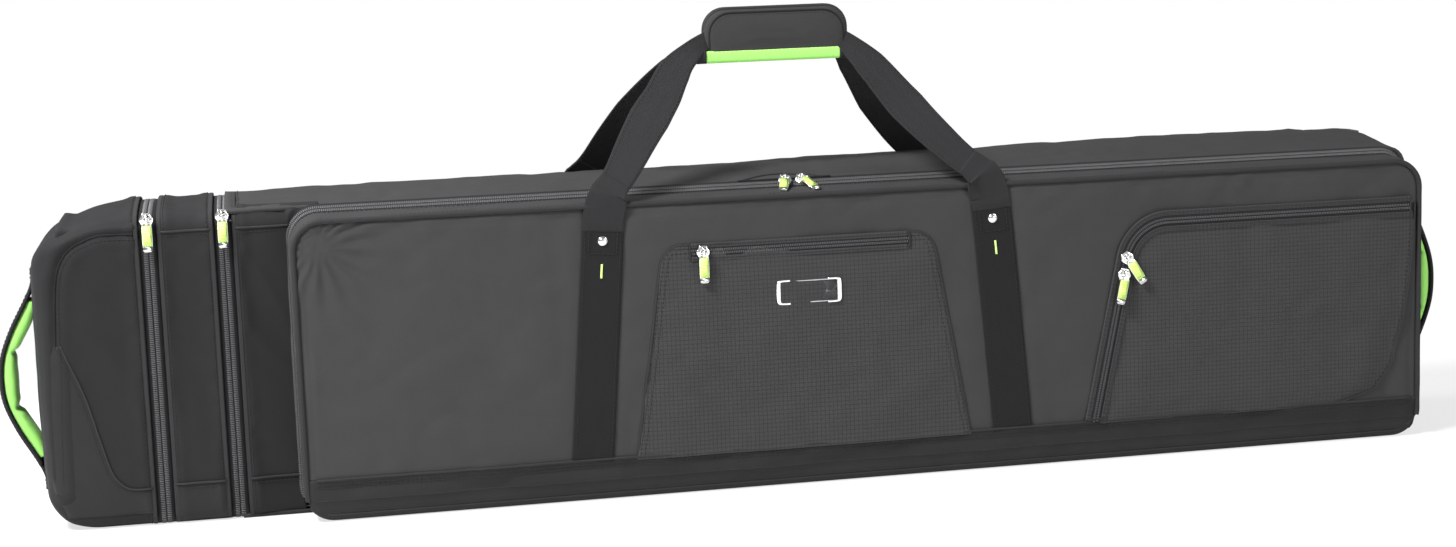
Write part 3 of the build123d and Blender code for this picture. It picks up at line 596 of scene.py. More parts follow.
GRIP_LOW, GRIP_HIGH = box_mm("grip_front_pad")
GRIP_MID = (GRIP_LOW + GRIP_HIGH) / 2
REAR_PAD_LOW, REAR_PAD_HIGH = box_mm("grip_rear_pad")
STRAP_LOW, STRAP_HIGH = box_mm("lid_webbing")
WEB_W = 50.0
WEB_T = STRAP_HIGH[1] - STRAP_LOW[1]
STRAP_FOOT_Z, STRAP_TOP_Z = 50.0, 350.0
STRAP_SPLAY = 25.0
FRONT_SHIFT = 8.0
STRAP_REACH = (STRAP_HIGH[0] - STRAP_LOW[0]) / 2 - WEB_W / 2 - 0.5
BASE_SEAM_Z = box_mm("centre_pocket")[0][2]
COIL_FACE = box_mm("right_pocket_chain")[0][1]


def strap_x(z, side, front=True):
    """Middle of a sewn strap at height z; side is -1 left, 1 right."""
    fall = (STRAP_TOP_Z - z) / (STRAP_TOP_Z - STRAP_FOOT_Z)
    shift = FRONT_SHIFT if front and side > 0 else 0.0
    return GRIP_MID[0] + shift + side * (STRAP_REACH - STRAP_SPLAY * (1.0 - fall))


# ---- surfaces of the lid ---------------------------------------------------------------------
FACE_DROP, FACE_INSET = 8.0, 3.0
FACE_L, FACE_R, FACE_TOP = LID_L + FACE_INSET, LID_R - FACE_INSET, HEIGHT - FACE_DROP


def lid_front(x, z):
    """Depth of the lid's front fabric at points of the face."""
    x, z = np.asarray(x, float), np.asarray(z, float)
    inside = rounded_distance(x, z, FACE_L, FACE_R, 0.0, FACE_TOP, CORNER_R)
    crown = 2.0 * smooth((inside - 4.0) / 90.0)
    roll = 4.2 * (1.0 - smooth(inside / 10.0))
    groove = 1.1 * np.exp(-((inside - 12.0) / 4.0) ** 2)
    face = LID_FRONT - crown + roll + groove
    ripple = 2.9 * creases(x, z, 3.0)
    for side in (-1, 1):
        off = np.abs(x - strap_x(z, side)) - WEB_W / 2
        face = face + 1.3 * np.exp(-(np.maximum(off, 0.0) / 7.0) ** 2)
        ripple = ripple * (0.25 + 0.75 * smooth((off + 4.0) / 30.0))
    pucker = value_noise(x / 17.0, z / 60.0, 8.0) * np.exp(-((inside - 16.0) / 12.0) ** 2)
    corner = np.hypot(x - FACE_L - 30.0, z - FACE_TOP + 30.0)
    rays = np.sin(np.arctan2(z - FACE_TOP + 30.0, x - FACE_L - 30.0) * 16.0)
    gathered = 1.5 * rays * np.exp(-((corner - 42.0) / 34.0) ** 2)
    low = np.exp(-((z - 30.0) / 22.0) ** 2)
    sag = 2.4 * low * value_noise(x / 70.0, z / 14.0, 12.0)
    fade = smooth((z - 14.0) / 10.0)
    return face + (ripple * smooth(inside / 22.0) + 1.0 * pucker + gathered) * fade + sag * fade


def face_rows(x_left, x_right, zs, count, bias=None):
    """Grid in x and z whose rows run between two edge curves."""
    share = np.linspace(0, 1, count) if bias is None else bias
    lefts, rights = x_left(zs), x_right(zs)
    x = lefts[:, None] + (rights - lefts)[:, None] * share[None, :]
    z = np.repeat(zs[:, None], count, axis=1)
    return x, z


def lid_left_edge(z, inset=0.0):
    return FACE_L + corner_inset(z) + inset


def lid_right_edge(z, inset=0.0):
    return FACE_R - corner_inset(z) - inset


def corner_inset(z):
    """How far the lid's rounded corners pull the outline in at height z."""
    z = np.asarray(z, float)
    high = np.clip(z - (FACE_TOP - CORNER_R), 0.0, CORNER_R)
    low = np.clip(CORNER_R - z, 0.0, CORNER_R)
    deep = np.maximum(high, low)
    return CORNER_R - np.sqrt(np.maximum(CORNER_R**2 - deep**2, 0.0))


def edge_clustered(count, power=0.35):
    """0..1 shares that crowd towards both ends."""
    t = np.linspace(0, 1, count)
    eased = 0.5 - 0.5 * np.cos(math.pi * t)
    return (1 - power) * t + power * eased


def height_rows(z0, z1, step, rounding=0.0):
    """Heights for a face grid, crowded near the top where the corners turn."""
    plain = spaced(z0, z1 - rounding, step)
    if rounding <= 0:
        return plain
    turn = np.radians(np.linspace(0, 88, 14))[1:]
    return np.concatenate([plain, z1 - rounding + rounding * np.sin(turn)])


def face_sheet(name, x, z, depth, thickness, material, body):
    """Closed sheet on the front, from a grid in x and z and its depth."""
    points = np.stack([x, depth, z], axis=2)
    piece = sheet(name, points, thickness, material, body, inward=(x.mean(), 900.0, z.mean()))
    planar_uv(piece.data, 0, 2)
    return piece


def planar_uv(mesh, a, b):
    """UVs straight from two coordinates, so that a weave keeps its scale."""
    co = np.zeros(len(mesh.vertices) * 3, np.float32)
    mesh.vertices.foreach_get("co", co)
    co = co.reshape(-1, 3)
    index = np.zeros(len(mesh.loops), int)
    mesh.loops.foreach_get("vertex_index", index)
    layer = mesh.uv_layers.active or mesh.uv_layers.new(name="UVMap")
    layer.data.foreach_set("uv", co[index][:, [a, b]].ravel())


SEAM_Z = 48.0
FOLD_TOP = HINGE_Z + 8.0
FOLD_LOW = HINGE_Z - 9.0
FABRIC_T = 1.6


def lid_outline(offset, z_low, drop=0.0):
    """Path round the lid's left, top and right edges, with outward normals; drop narrows it."""
    radius = CORNER_R + offset
    low = math.degrees(math.asin(min(1.0, (CORNER_R - z_low) / radius)))
    narrow = drop * FACE_INSET / FACE_DROP
    left, right = LID_L + CORNER_R + narrow, LID_R - CORNER_R - narrow
    foot, head = CORNER_R, HEIGHT - CORNER_R - drop
    path = np.vstack([
        arc_points(left, foot, radius, 180 + low, 180, 8)[:-1],
        np.linspace((left - radius, foot), (left - radius, head), 74)[:-1],
        arc_points(left, head, radius, 180, 90, 18)[:-1],
        np.linspace((left, head + radius), (right, head + radius), 330)[:-1],
        arc_points(right, head, radius, 90, 0, 18)[:-1],
        np.linspace((right + radius, head), (right + radius, foot), 74)[:-1],
        arc_points(right, foot, radius, 0, -low, 8),
    ])
    tangent = unit(np.gradient(path, axis=0))
    return path, np.stack([-tangent[:, 1], tangent[:, 0]], axis=1)


def at_depth(path, depth):
    """3-D path from (x, z) points at a depth."""
    return np.stack([path[:, 0], np.broadcast_to(depth, len(path)), path[:, 1]], axis=1)


def build_lid_face():
    zs = height_rows(SEAM_Z, FACE_TOP, 4.0, CORNER_R)
    x, z = face_rows(lid_left_edge, lid_right_edge, zs, 330, edge_clustered(330))
    depth = lid_front(x, z)
    face = face_sheet("lid_face", x, z, depth, FABRIC_T, SHELL, "lid")
    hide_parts("lid_panel")
    zs = spaced(FOLD_TOP - 2.0, SEAM_Z + 3.0, 3.0)
    x, z = face_rows(lid_left_edge, lid_right_edge, zs, 340, edge_clustered(340, 0.2))
    strip = lid_front(x, z) - 1.3 - 0.5 * np.exp(-((z - SEAM_Z) / 3.0) ** 2)
    face_sheet("lid_base_strip", x, z, strip, 2.0, BASE, "lid")
    xs = spaced(LID_L + 16.0, LID_R - 16.0, 5.0)
    for offset, name in ((-2.6, "a"), (-6.6, "b")):
        path = np.stack([xs, lid_front(xs, SEAM_Z + offset) - 1.9, np.full(len(xs), SEAM_Z + offset)],
                        axis=1)
        stitch_row("lid_base_stitches_" + name, path, (0, -1, 0), THREAD, "lid")
    roll = np.stack([xs, lid_front(xs, SEAM_Z) - 1.6, np.full(len(xs), SEAM_Z + 2.6)], axis=1)
    bar("lid_base_piping", roll, (0, -1, 0), circle_profile(1.7, 8), PIPING, "lid")


def build_fold():
    """Flexible strip of base fabric across the lid's fold."""
    zs = spaced(FOLD_LOW, FOLD_TOP, 1.6)
    x, z = face_rows(lambda q: lid_left_edge(q, 1.0), lambda q: lid_right_edge(q, 1.0), zs, 320)
    under = lid_front(x, np.maximum(z, FOLD_TOP - 2.0)) - 1.0
    blend_low = smooth((z - FOLD_LOW) / (FOLD_TOP - FOLD_LOW))
    depth = under * blend_low + (LID_FRONT - 0.8) * (1.0 - blend_low)
    depth = depth + 1.5 * smooth((FOLD_LOW + 6.0 - z) / 6.0) + 0.7 * np.cos((z - HINGE_Z) / 3.4)
    strip = face_sheet("lid_fold_strip", x, z, depth, 1.8, BASE, None)
    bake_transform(strip)


def lid_wall(ys, lift=0.0):
    """Grid on the lid's side wall, which slopes up from the piping to the zip, raised by lift."""
    front, front_normal = lid_outline(-1.5, FOLD_TOP, FACE_DROP)
    rear, _ = lid_outline(-1.0, FOLD_TOP, 2.0)
    share = ((np.asarray(ys, float) - LID_FRONT - 3.0) / (LID_REAR - LID_FRONT - 6.0))[None, :]
    run = np.arange(len(front))[:, None] * 4.0
    arch = np.sin(math.pi * np.clip(share, 0, 1))
    lumps = 0.9 * value_noise(run / 46.0, share * 3.0, 21.0)
    lumps = lumps + 0.7 * value_noise(run / 15.0, share * 1.4, 22.0)
    out = (1.6 + lumps) * arch + lift
    x, z = (front[:, k:k + 1] * (1 - share) + rear[:, k:k + 1] * share + front_normal[:, k:k + 1] * out
            for k in (0, 1))
    y = np.repeat(np.asarray(ys, float)[None, :], len(front), axis=0)
    return np.stack([x, y, z], axis=2), front_normal


def build_lid_edge():
    """Piping, gusset and inner lining of the lid."""
    path, _ = lid_outline(-1.2, FOLD_TOP, FACE_DROP)
    wobble = 0.5 * value_noise(path[:, 0] / 24.0, path[:, 1] / 24.0, 31.0)
    bar("lid_piping", at_depth(path, LID_FRONT + 1.6 + wobble), (0.0, -1.0, 0.0), circle_profile(3.3, 12),
        PIPING, "lid")
    points, normal = lid_wall(spaced(LID_FRONT + 3.0, LID_REAR - 3.0, 3.4))
    wall = sheet("lid_side_wall", points, 2.4, TOPCLOTH, "lid")
    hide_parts("lid_gusset")
    up = np.stack([normal[:, 0], np.zeros(len(normal)), normal[:, 1]], axis=1)
    for depth, name in ((LID_REAR - 8.0, "rear"), (LID_FRONT + 10.0, "front")):
        stitch_row("lid_wall_stitches_" + name, lid_wall([depth], 0.2)[0][:, 0], up, THREAD, "lid")
    zs = spaced(FOLD_TOP + 2.0, FACE_TOP - 8.0, 12.0)
    x, z = face_rows(lambda q: lid_left_edge(q, 7.0), lambda q: lid_right_edge(q, 7.0), zs, 120)
    depth = LID_FRONT + 6.0 + 1.0 * creases(x, z, 40.0)
    face_sheet("lid_lining", x, z, depth, 1.0, LINING, "lid")


def coil_tooth(inner, outer):
    """One rounded cross-rib of a nylon coil between two distances from the zip's middle."""
    return capsule(1, inner, outer, 0.66, 1.15, 5)


COIL_PITCH = 2.2
MAIN_ZIP_HALF, MAIN_COIL_HALF = 9.5, 5.8
ZIP_TILT = unit(np.array([0.0, -0.58, 1.0]))


def zip_line(name, path, normals, half_width, coil_half, body_a, body_b, replaced=(), coil_material=None):
    """Zip along a 3-D path: on side a and side b a tape and half of the coil.

    Side a lies at negative offsets across the path. The pieces are returned as (a, b).
    """
    made = []
    for hand, body in ((-1, body_a), (1, body_b)):
        near, far = hand * 0.5, hand * coil_half
        tooth = coil_tooth(min(near, far), max(near, far))
        teeth = [scatter(path, normals, COIL_PITCH, tooth, 0.2, 0.0 if hand < 0 else COIL_PITCH / 2)]
        coil = joined(f"{name}_coil_{'ab'[hand > 0]}", teeth, coil_material or COIL_DARK, body)
        profile = np.array([
            (hand * 0.15, 0.35), (hand * 2.0, 0.4), (hand * half_width, 0.3),
            (hand * half_width, -0.5), (hand * 2.0, -0.5), (hand * 0.15, -0.5),
        ])
        tape = bar(f"{name}_tape_{'ab'[hand > 0]}", path, normals, profile, TAPE, body)
        made.append((coil, tape))
    for (coil, _), node in zip(made, replaced):
        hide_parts(node)
    return made


def build_main_zip():
    path, normal = lid_outline(0.4, HINGE_Z + 2.5)
    line = at_depth(path, ZIP_Y)
    lean = ZIP_TILT[1] / ZIP_TILT[2]
    normals = unit(np.stack([normal[:, 0], np.full(len(path), lean), normal[:, 1]], axis=1))
    # across = tangent x normal points towards -y here, so side a (negative offsets) is the shell's.
    nodes = ("main_chain_shell", "main_chain_lid")
    # The main zip's coil takes the brighter coil colour, with its painted highlight.
    zip_line("main_zip", line, normals, MAIN_ZIP_HALF, MAIN_COIL_HALF, "shell", "lid", nodes, COIL_PAINTED_HIGHLIGHT)


# ---- straps, rivets and bar tacks ------------------------------------------------------------
def strap_path(side, face, z0, z1, front, step=6.0):
    """Path of a sewn strap down a face whose depth is face(x, z)."""
    zs = spaced(z1, z0, step)
    xs = strap_x(zs, side, front)
    return np.stack([xs, face(xs, zs), zs], axis=1)


def box_stitch(name, centre, across, along, out, half_w, half_h, body, crossed=True):
    """Stitched box with a cross, lying on a strap."""
    corners = [(-half_w, -half_h), (half_w, -half_h), (half_w, half_h), (-half_w, half_h),
               (-half_w, -half_h)]
    lines = [corners]
    if crossed:
        lines += [[corners[0], corners[2]], [corners[1], corners[3]]]
    chunks = []
    for line in lines:
        flat = resample(np.array(line), 4.0)
        path = centre + flat[:, 0:1] * across + flat[:, 1:2] * along
        chunks.append(scatter(path, out, STITCH_PITCH, STITCH, 0.1))
    return joined(name, chunks, THREAD, body)


def dome(name, centre, axis, radius, height, material, body, hollow=0.0):
    """Round rivet head standing on a face."""
    levels = [(1.0, 0.0), (1.0, 0.18), (0.93, 0.45), (0.78, 0.72), (0.52, 0.92), (0.2 + hollow, 1.0),
              (0.03, 1.0)]
    axis = unit(np.asarray(axis, float))
    helper = np.array([1.0, 0.0, 0.0]) if abs(axis[0]) < 0.8 else np.array([0.0, 0.0, 1.0])
    first = unit(np.cross(axis, helper))
    second = np.cross(axis, first)
    ring = circle_profile(1.0, 28)
    rings = []
    for width, rise in levels:
        flat = ring[:, 0:1] * first + ring[:, 1:2] * second
        rings.append(np.asarray(centre) + flat * radius * width + axis * height * rise)
    verts, faces, uv = capped(np.array(rings))
    return joined(name, [(verts, faces, uv)], material, body)


WEB_PROFILE = flat_profile(WEB_W, WEB_T, 1.2, 10)


def rear_face(x, z):
    """Depth of the back panel's fabric."""
    x, z = np.asarray(x, float), np.asarray(z, float)
    inside = np.minimum(z, HEIGHT - z)
    bulge = 1.6 * smooth((inside - 8.0) / 70.0)
    return BACK + bulge + 0.9 * creases(x, z, 61.0) * smooth((inside - 6.0) / 40.0)


def build_straps():
    """Both pairs of sewn straps with their stitching, rivets and lime bar tacks."""
    faces = {
        "lid": (lid_front, -1.0, "lid_webbing", "lid_rivets"),
        "shell": (rear_face, 1.0, "rear_webbing", "rear_rivets"),
    }
    for body, (face, out, web_node, rivet_node) in faces.items():
        word = "front" if out < 0 else "rear"
        up = np.array([0.0, out, 0.0])
        for side, hand in ((-1, "left"), (1, "right")):
            tag = f"{word}_{hand}"
            path = strap_path(side, face, STRAP_FOOT_Z - 1.0, STRAP_TOP_Z - 14.0, out < 0)
            path[:, 1] += out * WEB_T / 2
            strap = bar(f"strap_{tag}", path, up, WEB_PROFILE, SEWN_WEB, body)
            for edge in (-21.5, 21.5):
                side_dir = unit(path[-1] - path[0])
                across = np.cross(side_dir, up)
                line = path + across * edge + up * (WEB_T / 2)
                stitch_row(f"strap_stitches_{tag}_{'in' if edge * side < 0 else 'out'}", line, up, THREAD,
                           body)
            zs = box_mm(rivet_node)
            rivet_z = (zs[0][2] + zs[1][2]) / 2
            x = strap_x(rivet_z, side, out < 0)
            seat = np.array([x, face(x, rivet_z) + out * WEB_T, rivet_z])
            dome(f"rivet_washer_{tag}", seat, up, 5.6, 0.6, NICKEL, body)
            head = dome(f"rivet_{tag}", seat + up * 0.5, up, 4.8, 2.3, NICKEL, body, 0.1)
            along = unit(np.array([side * -STRAP_SPLAY, 0.0, STRAP_TOP_Z - STRAP_FOOT_Z]))
            across = np.cross(along, up)
            tack_z = rivet_z - 36.0
            tack_x = strap_x(tack_z, side, out < 0)
            start = np.array([tack_x, face(tack_x, tack_z) + out * (WEB_T + 0.5), tack_z])
            tack = np.array([start + along * s for s in spaced(-8.5, 8.5, 2.0)])
            bar(f"tack_{tag}", tack, up, flat_profile(2.4, 1.3, 0.5), LIME_THREAD, body)
            box_stitch(f"strap_box_{tag}", start + along * 36.0 - up * 0.4, across, along, up, 17.0, 15.0,
                       body, False)
            if side < 0:
                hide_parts(web_node)
                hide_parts(rivet_node)


# ---- flat plates with shaped edges -----------------------------------------------------------
def rounded_outline(width, height, radius, per_corner=7):
    """Closed outline of a rounded rectangle about the origin."""
    w, h = width / 2 - radius, height / 2 - radius
    parts = []
    for cx, cy, a in ((w, h, 0), (-w, h, 90), (-w, -h, 180), (w, -h, 270)):
        parts.append(arc_points(cx, cy, radius, a, a + 90, per_corner))
    return np.vstack(parts)


def shrunk(outline, inset):
    """Outline moved in along its normals."""
    tangent = unit(np.roll(outline, -1, axis=0) - np.roll(outline, 1, axis=0))
    normal = np.stack([-tangent[:, 1], tangent[:, 0]], axis=1)
    return outline + normal * inset


def layered(outline, levels, origin, u, v, w):
    """Closed solid from an outline repeated at (inset, height) levels; u, v, w are its axes."""
    rings = []
    for inset, rise in levels:
        flat = shrunk(outline, inset)
        rings.append(np.asarray(origin) + flat[:, 0:1] * u + flat[:, 1:2] * v + rise * np.asarray(w))
    return capped(np.array(rings))


def ring_solid(outline, width, levels, origin, u, v, w):
    """Closed frame that follows an outline: levels are (share across, height) round its section."""
    inner = shrunk(outline, width)
    grid = []
    for share, rise in levels:
        flat = outline * (1 - share) + inner * share
        grid.append(np.asarray(origin) + flat[:, 0:1] * u + flat[:, 1:2] * v + rise * np.asarray(w))
    grid = np.array(grid).transpose(1, 0, 2)
    nu, nv, _ = grid.shape
    faces = []
    for i in range(nu):
        for j in range(nv):
            a, b = i * nv + j, i * nv + (j + 1) % nv
            c, d = ((i + 1) % nu) * nv + (j + 1) % nv, ((i + 1) % nu) * nv + j
            faces.append((a, b, c, d))
    uv = np.tile(outline, (nv, 1)).reshape(nv, nu, 2).transpose(1, 0, 2)
    return grid.reshape(-1, 3), faces, uv.reshape(-1, 2)


# ---- zip sliders and pulls -------------------------------------------------------------------
BAR_H = 6.5


def slider_axes(name):
    """Origin on the zip and the three axes of a slider, from its pull's hinge."""
    joint = JOINTS[name + "_pull_swing"]
    u = -np.array(joint["axis"], float)
    w = ZIP_TILT if name.startswith("main") else np.array([0.0, -1.0, 0.0])
    v = np.cross(w, u)
    return joint_mm(name + "_pull_swing") - BAR_H * w, u, v, w


def slider_outline():
    """Plan of a slider: a broad rounded head that narrows to its tail."""
    half = [
        (0.0, 8.3), (4.4, 8.1), (5.4, 7.0), (6.2, 4.2), (7.9, 1.8), (8.1, -0.6), (6.9, -3.4), (5.4, -6.0),
        (4.4, -7.6), (2.2, -8.2),
    ]
    right = np.array(half)
    left = right[1:][::-1] * [-1, 1]
    loop = np.vstack([right, [[0.0, -8.3]], left])
    closed = catmull(np.vstack([loop, loop[:1]]), 1.0)[:-1]
    return closed[::-1]


def build_slider(name):
    origin, u, v, w = slider_axes(name)
    outline = slider_outline()
    plates = [
        (1.2, 0.2), (0.3, 0.5), (0.0, 1.0), (0.3, 1.4), (1.4, 1.55), (1.4, 2.3), (0.2, 2.45), (0.0, 3.0),
        (0.35, 3.7), (1.2, 4.1), (2.6, 4.3), (4.2, 4.35),
    ]
    body = layered(outline, plates, origin, u, v, w)
    arch = []
    for t in np.linspace(0, math.pi, 17):
        along = math.cos(t) * 6.2
        arch.append(origin + v * along + w * (3.6 + 3.9 * math.sin(t) ** 0.75))
    arch = np.array(arch)
    grid = swept(arch, np.tile(u, (len(arch), 1)), flat_profile(1.8, 3.2, 0.6))
    bridge = capped(grid)
    posts = []
    for side in (-1, 1):
        stem = [origin + u * side * 4.1 + w * h for h in (3.4, 4.6, 5.6, 6.6)]
        posts.append(capped(swept(np.array(stem), v, flat_profile(1.5, 3.0, 0.5))))
    pin = [origin + u * x + w * BAR_H for x in np.linspace(-4.9, 4.9, 8)]
    pin = capped(swept(np.array(pin), w, circle_profile(1.15, 12)))
    slider = joined(name + "_slider_metal", [body, bridge, pin] + posts, NICKEL, name + "_slider")
    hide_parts(name + "_slider")


def pull_outline(length=35.0, half=6.0):
    """Plan of a pull tab, its narrow end at the origin and its body towards -v."""
    right = np.array([
        (0.0, 0.0), (2.8, -0.3), (4.6, -1.6), (half - 0.4, -4.0), (half, -7.5), (half, -24.0),
        (half - 0.5, -29.0), (half - 1.3, -length + 1.4), (2.4, -length),
    ])
    left = right[1:][::-1] * [-1, 1]
    loop = np.vstack([right, [[0.0, -length - 0.1]], left])
    return catmull(np.vstack([loop, loop[:1]]), 1.4)[:-1][::-1]


def build_pull(name, swing=0.0, twist=0.0):
    """Pull tab with an eye, a nickel frame and tip and a lime insert; swing and twist set how it lies."""
    origin, u, v, w = slider_axes(name)
    pivot = origin + w * BAR_H
    c, s = math.cos(math.radians(swing)), math.sin(math.radians(swing))
    v, w = v * c + w * s, w * c - v * s
    c, s = math.cos(math.radians(twist)), math.sin(math.radians(twist))
    u, v = u * c + v * s, v * c - u * s
    start = pivot - v * 1.6
    outline = pull_outline()
    section = [(0.0, -0.35), (0.25, -1.05), (0.75, -1.05), (1.0, -0.5), (1.0, 0.5), (0.75, 1.05),
               (0.25, 1.05), (0.0, 0.35)]
    frame_part = ring_solid(outline, 1.2, section, start, u, v, w)
    thin = [(0.3, -0.45), (0.0, -0.3), (0.0, 0.3), (0.3, 0.45)]
    web = layered(shrunk(outline, 0.8), thin, start, u, v, w)
    turns = np.linspace(0, 2 * math.pi, 25)[:-1]
    ring = [pivot + (v * math.cos(a) + w * math.sin(a)) * 2.35 for a in turns]
    ring = np.array(ring)
    grid = swept(np.vstack([ring, ring[:2]]), np.tile(u, (len(ring) + 2, 1)), circle_profile(0.95, 8))[1:-1]
    loop_faces = grid_faces(len(grid) + 1, 8, wrap_v=True) % (len(grid) * 8)
    eye = (grid.reshape(-1, 3), [tuple(f) for f in loop_faces], np.zeros((len(grid) * 8, 2)))
    tip_outline = rounded_outline(9.6, 6.4, 2.0)
    tip = layered(tip_outline[::-1], [(0.5, -1.3), (0.0, -0.9), (0.0, 0.9), (0.5, 1.3)], start - v * 31.4,
                  u, v, w)
    joined(name + "_pull_frame", [frame_part, web, eye, tip], NICKEL, name + "_pull")
    insert = rounded_outline(9.2, 22.6, 1.8)[::-1]
    levels = [(0.8, -1.5), (0.2, -1.3), (0.0, -0.9), (0.0, 0.9), (0.2, 1.3), (0.8, 1.5)]
    lime = layered(insert, levels, start - v * 16.4, u, v, w)
    ridges = []
    for k in range(5):
        middle = start - v * (10.0 + 3.1 * k)
        line = np.array([middle + u * x for x in np.linspace(-3.2, 3.2, 5)])
        ridges.append(capped(swept(line + w * 1.45, w, circle_profile(0.42, 6))))
    trim = joined(name + "_pull_insert", [lime] + ridges, PULL_LIME, name + "_pull")
    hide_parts(name + "_pull")


SLIDERS = (
    "main_left", "main_right", "outer_expansion", "inner_expansion",
    "centre_pocket", "right_pocket_upper", "right_pocket_lower",
)
PULL_TURNS = {"main_left": (-8.0, -17.0), "main_right": (-8.0, 17.0)}


def build_sliders():
    for name in SLIDERS:
        build_slider(name)
        build_pull(name, *PULL_TURNS.get(name, (0.0, 0.0)))


# ---- pockets on the lid ----------------------------------------------------------------------
POCKET_LOW, POCKET_HIGH = box_mm("centre_pocket")
POCKET_TOP = POCKET_HIGH[2]
POCKET_R = 22.0
CENTRE_ZIP_LOW, CENTRE_ZIP_HIGH = box_mm("centre_pocket_chain")
SIDE_TOP = joint_mm("right_pocket_upper_zip")[2] + 55.0
PLATE_LOW, PLATE_HIGH = box_mm("name_plate")
PLATE_MID = (PLATE_LOW + PLATE_HIGH) / 2


def centre_narrowing(z, lean, inset):
    """How far the centre pocket's side has come in at height z: its lean, inset and rounded corner."""
    share = (z - POCKET_LOW[2]) / (POCKET_TOP - POCKET_LOW[2])
    deep = np.clip(z - (POCKET_TOP - POCKET_R), 0, POCKET_R)
    return lean * share + inset + POCKET_R - np.sqrt(np.maximum(POCKET_R**2 - deep**2, 0))


def centre_left(z, inset=0.0):
    return POCKET_LOW[0] + centre_narrowing(z, 40.0, inset)


def centre_right(z, inset=0.0):
    return POCKET_HIGH[0] - centre_narrowing(z, 45.0, inset)


def centre_depth(x, z):
    """Face of the centre pocket: puffed, flat beside its zip and behind its plate."""
    side = np.minimum(x - centre_left(z), centre_right(z) - x)
    inside = np.minimum(side, POCKET_TOP - z)
    zip_z = (CENTRE_ZIP_LOW[2] + CENTRE_ZIP_HIGH[2]) / 2
    low = smooth((zip_z - 10.0 - z) / 26.0)
    puff = 0.7 + 2.6 * smooth(inside / 60.0) * low + 0.6 * smooth(inside / 5.0)
    wrinkle = 1.5 * creases(x * 0.9, z, 77.0) * smooth(inside / 26.0) * low
    vertical = 0.8 * np.sin(x / 21.0 + 1.6 * np.sin(z / 40.0)) * smooth((150.0 - z) / 70.0)
    vertical = vertical * smooth(inside / 20.0)
    plate = np.hypot((x - PLATE_MID[0]) / 62.0, (z - PLATE_MID[2]) / 26.0)
    calm = smooth((plate - 0.8) / 0.5)
    return np.minimum(lid_front(x, z), LID_FRONT - 1.6) - puff - (wrinkle + vertical) * calm


def build_centre_pocket():
    zs = height_rows(POCKET_LOW[2] - 1.0, POCKET_TOP, 4.0, POCKET_R)
    x, z = face_rows(centre_left, centre_right, zs, 112, edge_clustered(112))
    bag = face_sheet("centre_pocket_face", x, z, centre_depth(x, z), 1.2, RIPSTOP, "lid")
    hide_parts("centre_pocket")
    for inset, name in ((3.0, "outer"), (8.5, "inner")):
        left = np.stack([centre_left(zs, inset), zs], axis=1)
        right = np.stack([centre_right(zs, inset), zs], axis=1)[::-1]
        rim = resample(np.vstack([left[zs < POCKET_TOP - inset], right[(zs < POCKET_TOP - inset)[::-1]]]),
                       4.0)
        path = at_depth(rim, centre_depth(rim[:, 0], rim[:, 1]))
        stitch_row("centre_pocket_stitches_" + name, path, (0, -1, 0), THREAD, "lid")
    left = np.stack([centre_left(zs), zs], axis=1)
    right = np.stack([centre_right(zs), zs], axis=1)[::-1]
    rim = resample(np.vstack([left, right]), 4.0)
    path = at_depth(rim, lid_front(rim[:, 0], rim[:, 1]) - 0.6)
    bar("centre_pocket_piping", path, (0, -1, 0), circle_profile(1.5, 8), PIPING, "lid")
    zip_z = (CENTRE_ZIP_LOW[2] + CENTRE_ZIP_HIGH[2]) / 2
    xs = spaced(CENTRE_ZIP_LOW[0], CENTRE_ZIP_HIGH[0], 4.0)
    depth = np.full(len(xs), COIL_FACE + 0.75)
    line = np.stack([xs, depth, np.full(len(xs), zip_z)], axis=1)
    made = zip_line("centre_zip", line, np.array([0.0, -1.0, 0.0]), 7.0, 3.4, "lid", "lid")
    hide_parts("centre_pocket_chain")
    for hand, name in ((-1, "low"), (1, "high")):
        hem = line + np.array([0.0, 0.3, hand * 8.0])
        bar("centre_zip_hem_" + name, hem, (0, -1, 0), flat_profile(6.0, 1.8, 0.7), RIPSTOP, "lid")
        stitch_row("centre_zip_stitches_" + name, hem + [0, -0.9, 0], (0, -1, 0), THREAD, "lid")
    for x, name in ((CENTRE_ZIP_LOW[0] - 1.0, "start"), (CENTRE_ZIP_HIGH[0] + 1.0, "end")):
        path = [[x, COIL_FACE + 0.5, zip_z + h] for h in spaced(-9.0, 9.0, 1.5)]
        zip_tack("centre_zip_tack_" + name, path, 2.6, 1.8)


def zip_tack(name, path, width, thickness):
    """Bar tack across the end of a pocket's zip."""
    bar(name, path, (0, -1, 0), flat_profile(width, thickness, 0.6), THREAD, "lid")


def side_zip_path(offset, right_end, step=4.0):
    """(x, z) path of the right-hand pocket's zip, moved across by offset (positive is up and out)."""
    pivot = joint_mm("right_pocket_upper_zip")
    centre = np.array([pivot[0], pivot[2]])
    upper = joint_mm("right_pocket_upper_pull_swing")
    start = np.array([upper[0], upper[2]])
    radius = np.linalg.norm(start - centre)
    lean = math.degrees(math.atan2(start[1] - centre[1], centre[0] - start[0]))
    foot_z = BASE_SEAM_Z + 2.0
    down = np.array([-math.sin(math.radians(lean)), -math.cos(math.radians(lean))])
    foot = start + down * (start[1] - foot_z) / math.cos(math.radians(lean))
    out = np.array([-math.cos(math.radians(lean)), math.sin(math.radians(lean))])
    arc = arc_points(centre[0], centre[1], radius + offset, 180 - lean, 90, 22)
    leg = np.array([foot + out * offset, start + out * offset])
    run = np.array([[centre[0], centre[1] + radius + offset], [right_end, centre[1] + radius + offset]])
    return resample(np.vstack([leg, arc, run]), step)


def side_right(z):
    """Curved seam at the right-hand pocket's lower right."""
    heights = np.array([0.0, 51.0, 66.0, 101.0, 152.0, 203.0, 255.0, 306.0, 400.0])
    from_edge = np.array([158.0, 112.0, 64.0, 40.0, 27.0, 18.0, 14.0, 12.0, 12.0])
    return LID_R - np.interp(z, heights, from_edge)


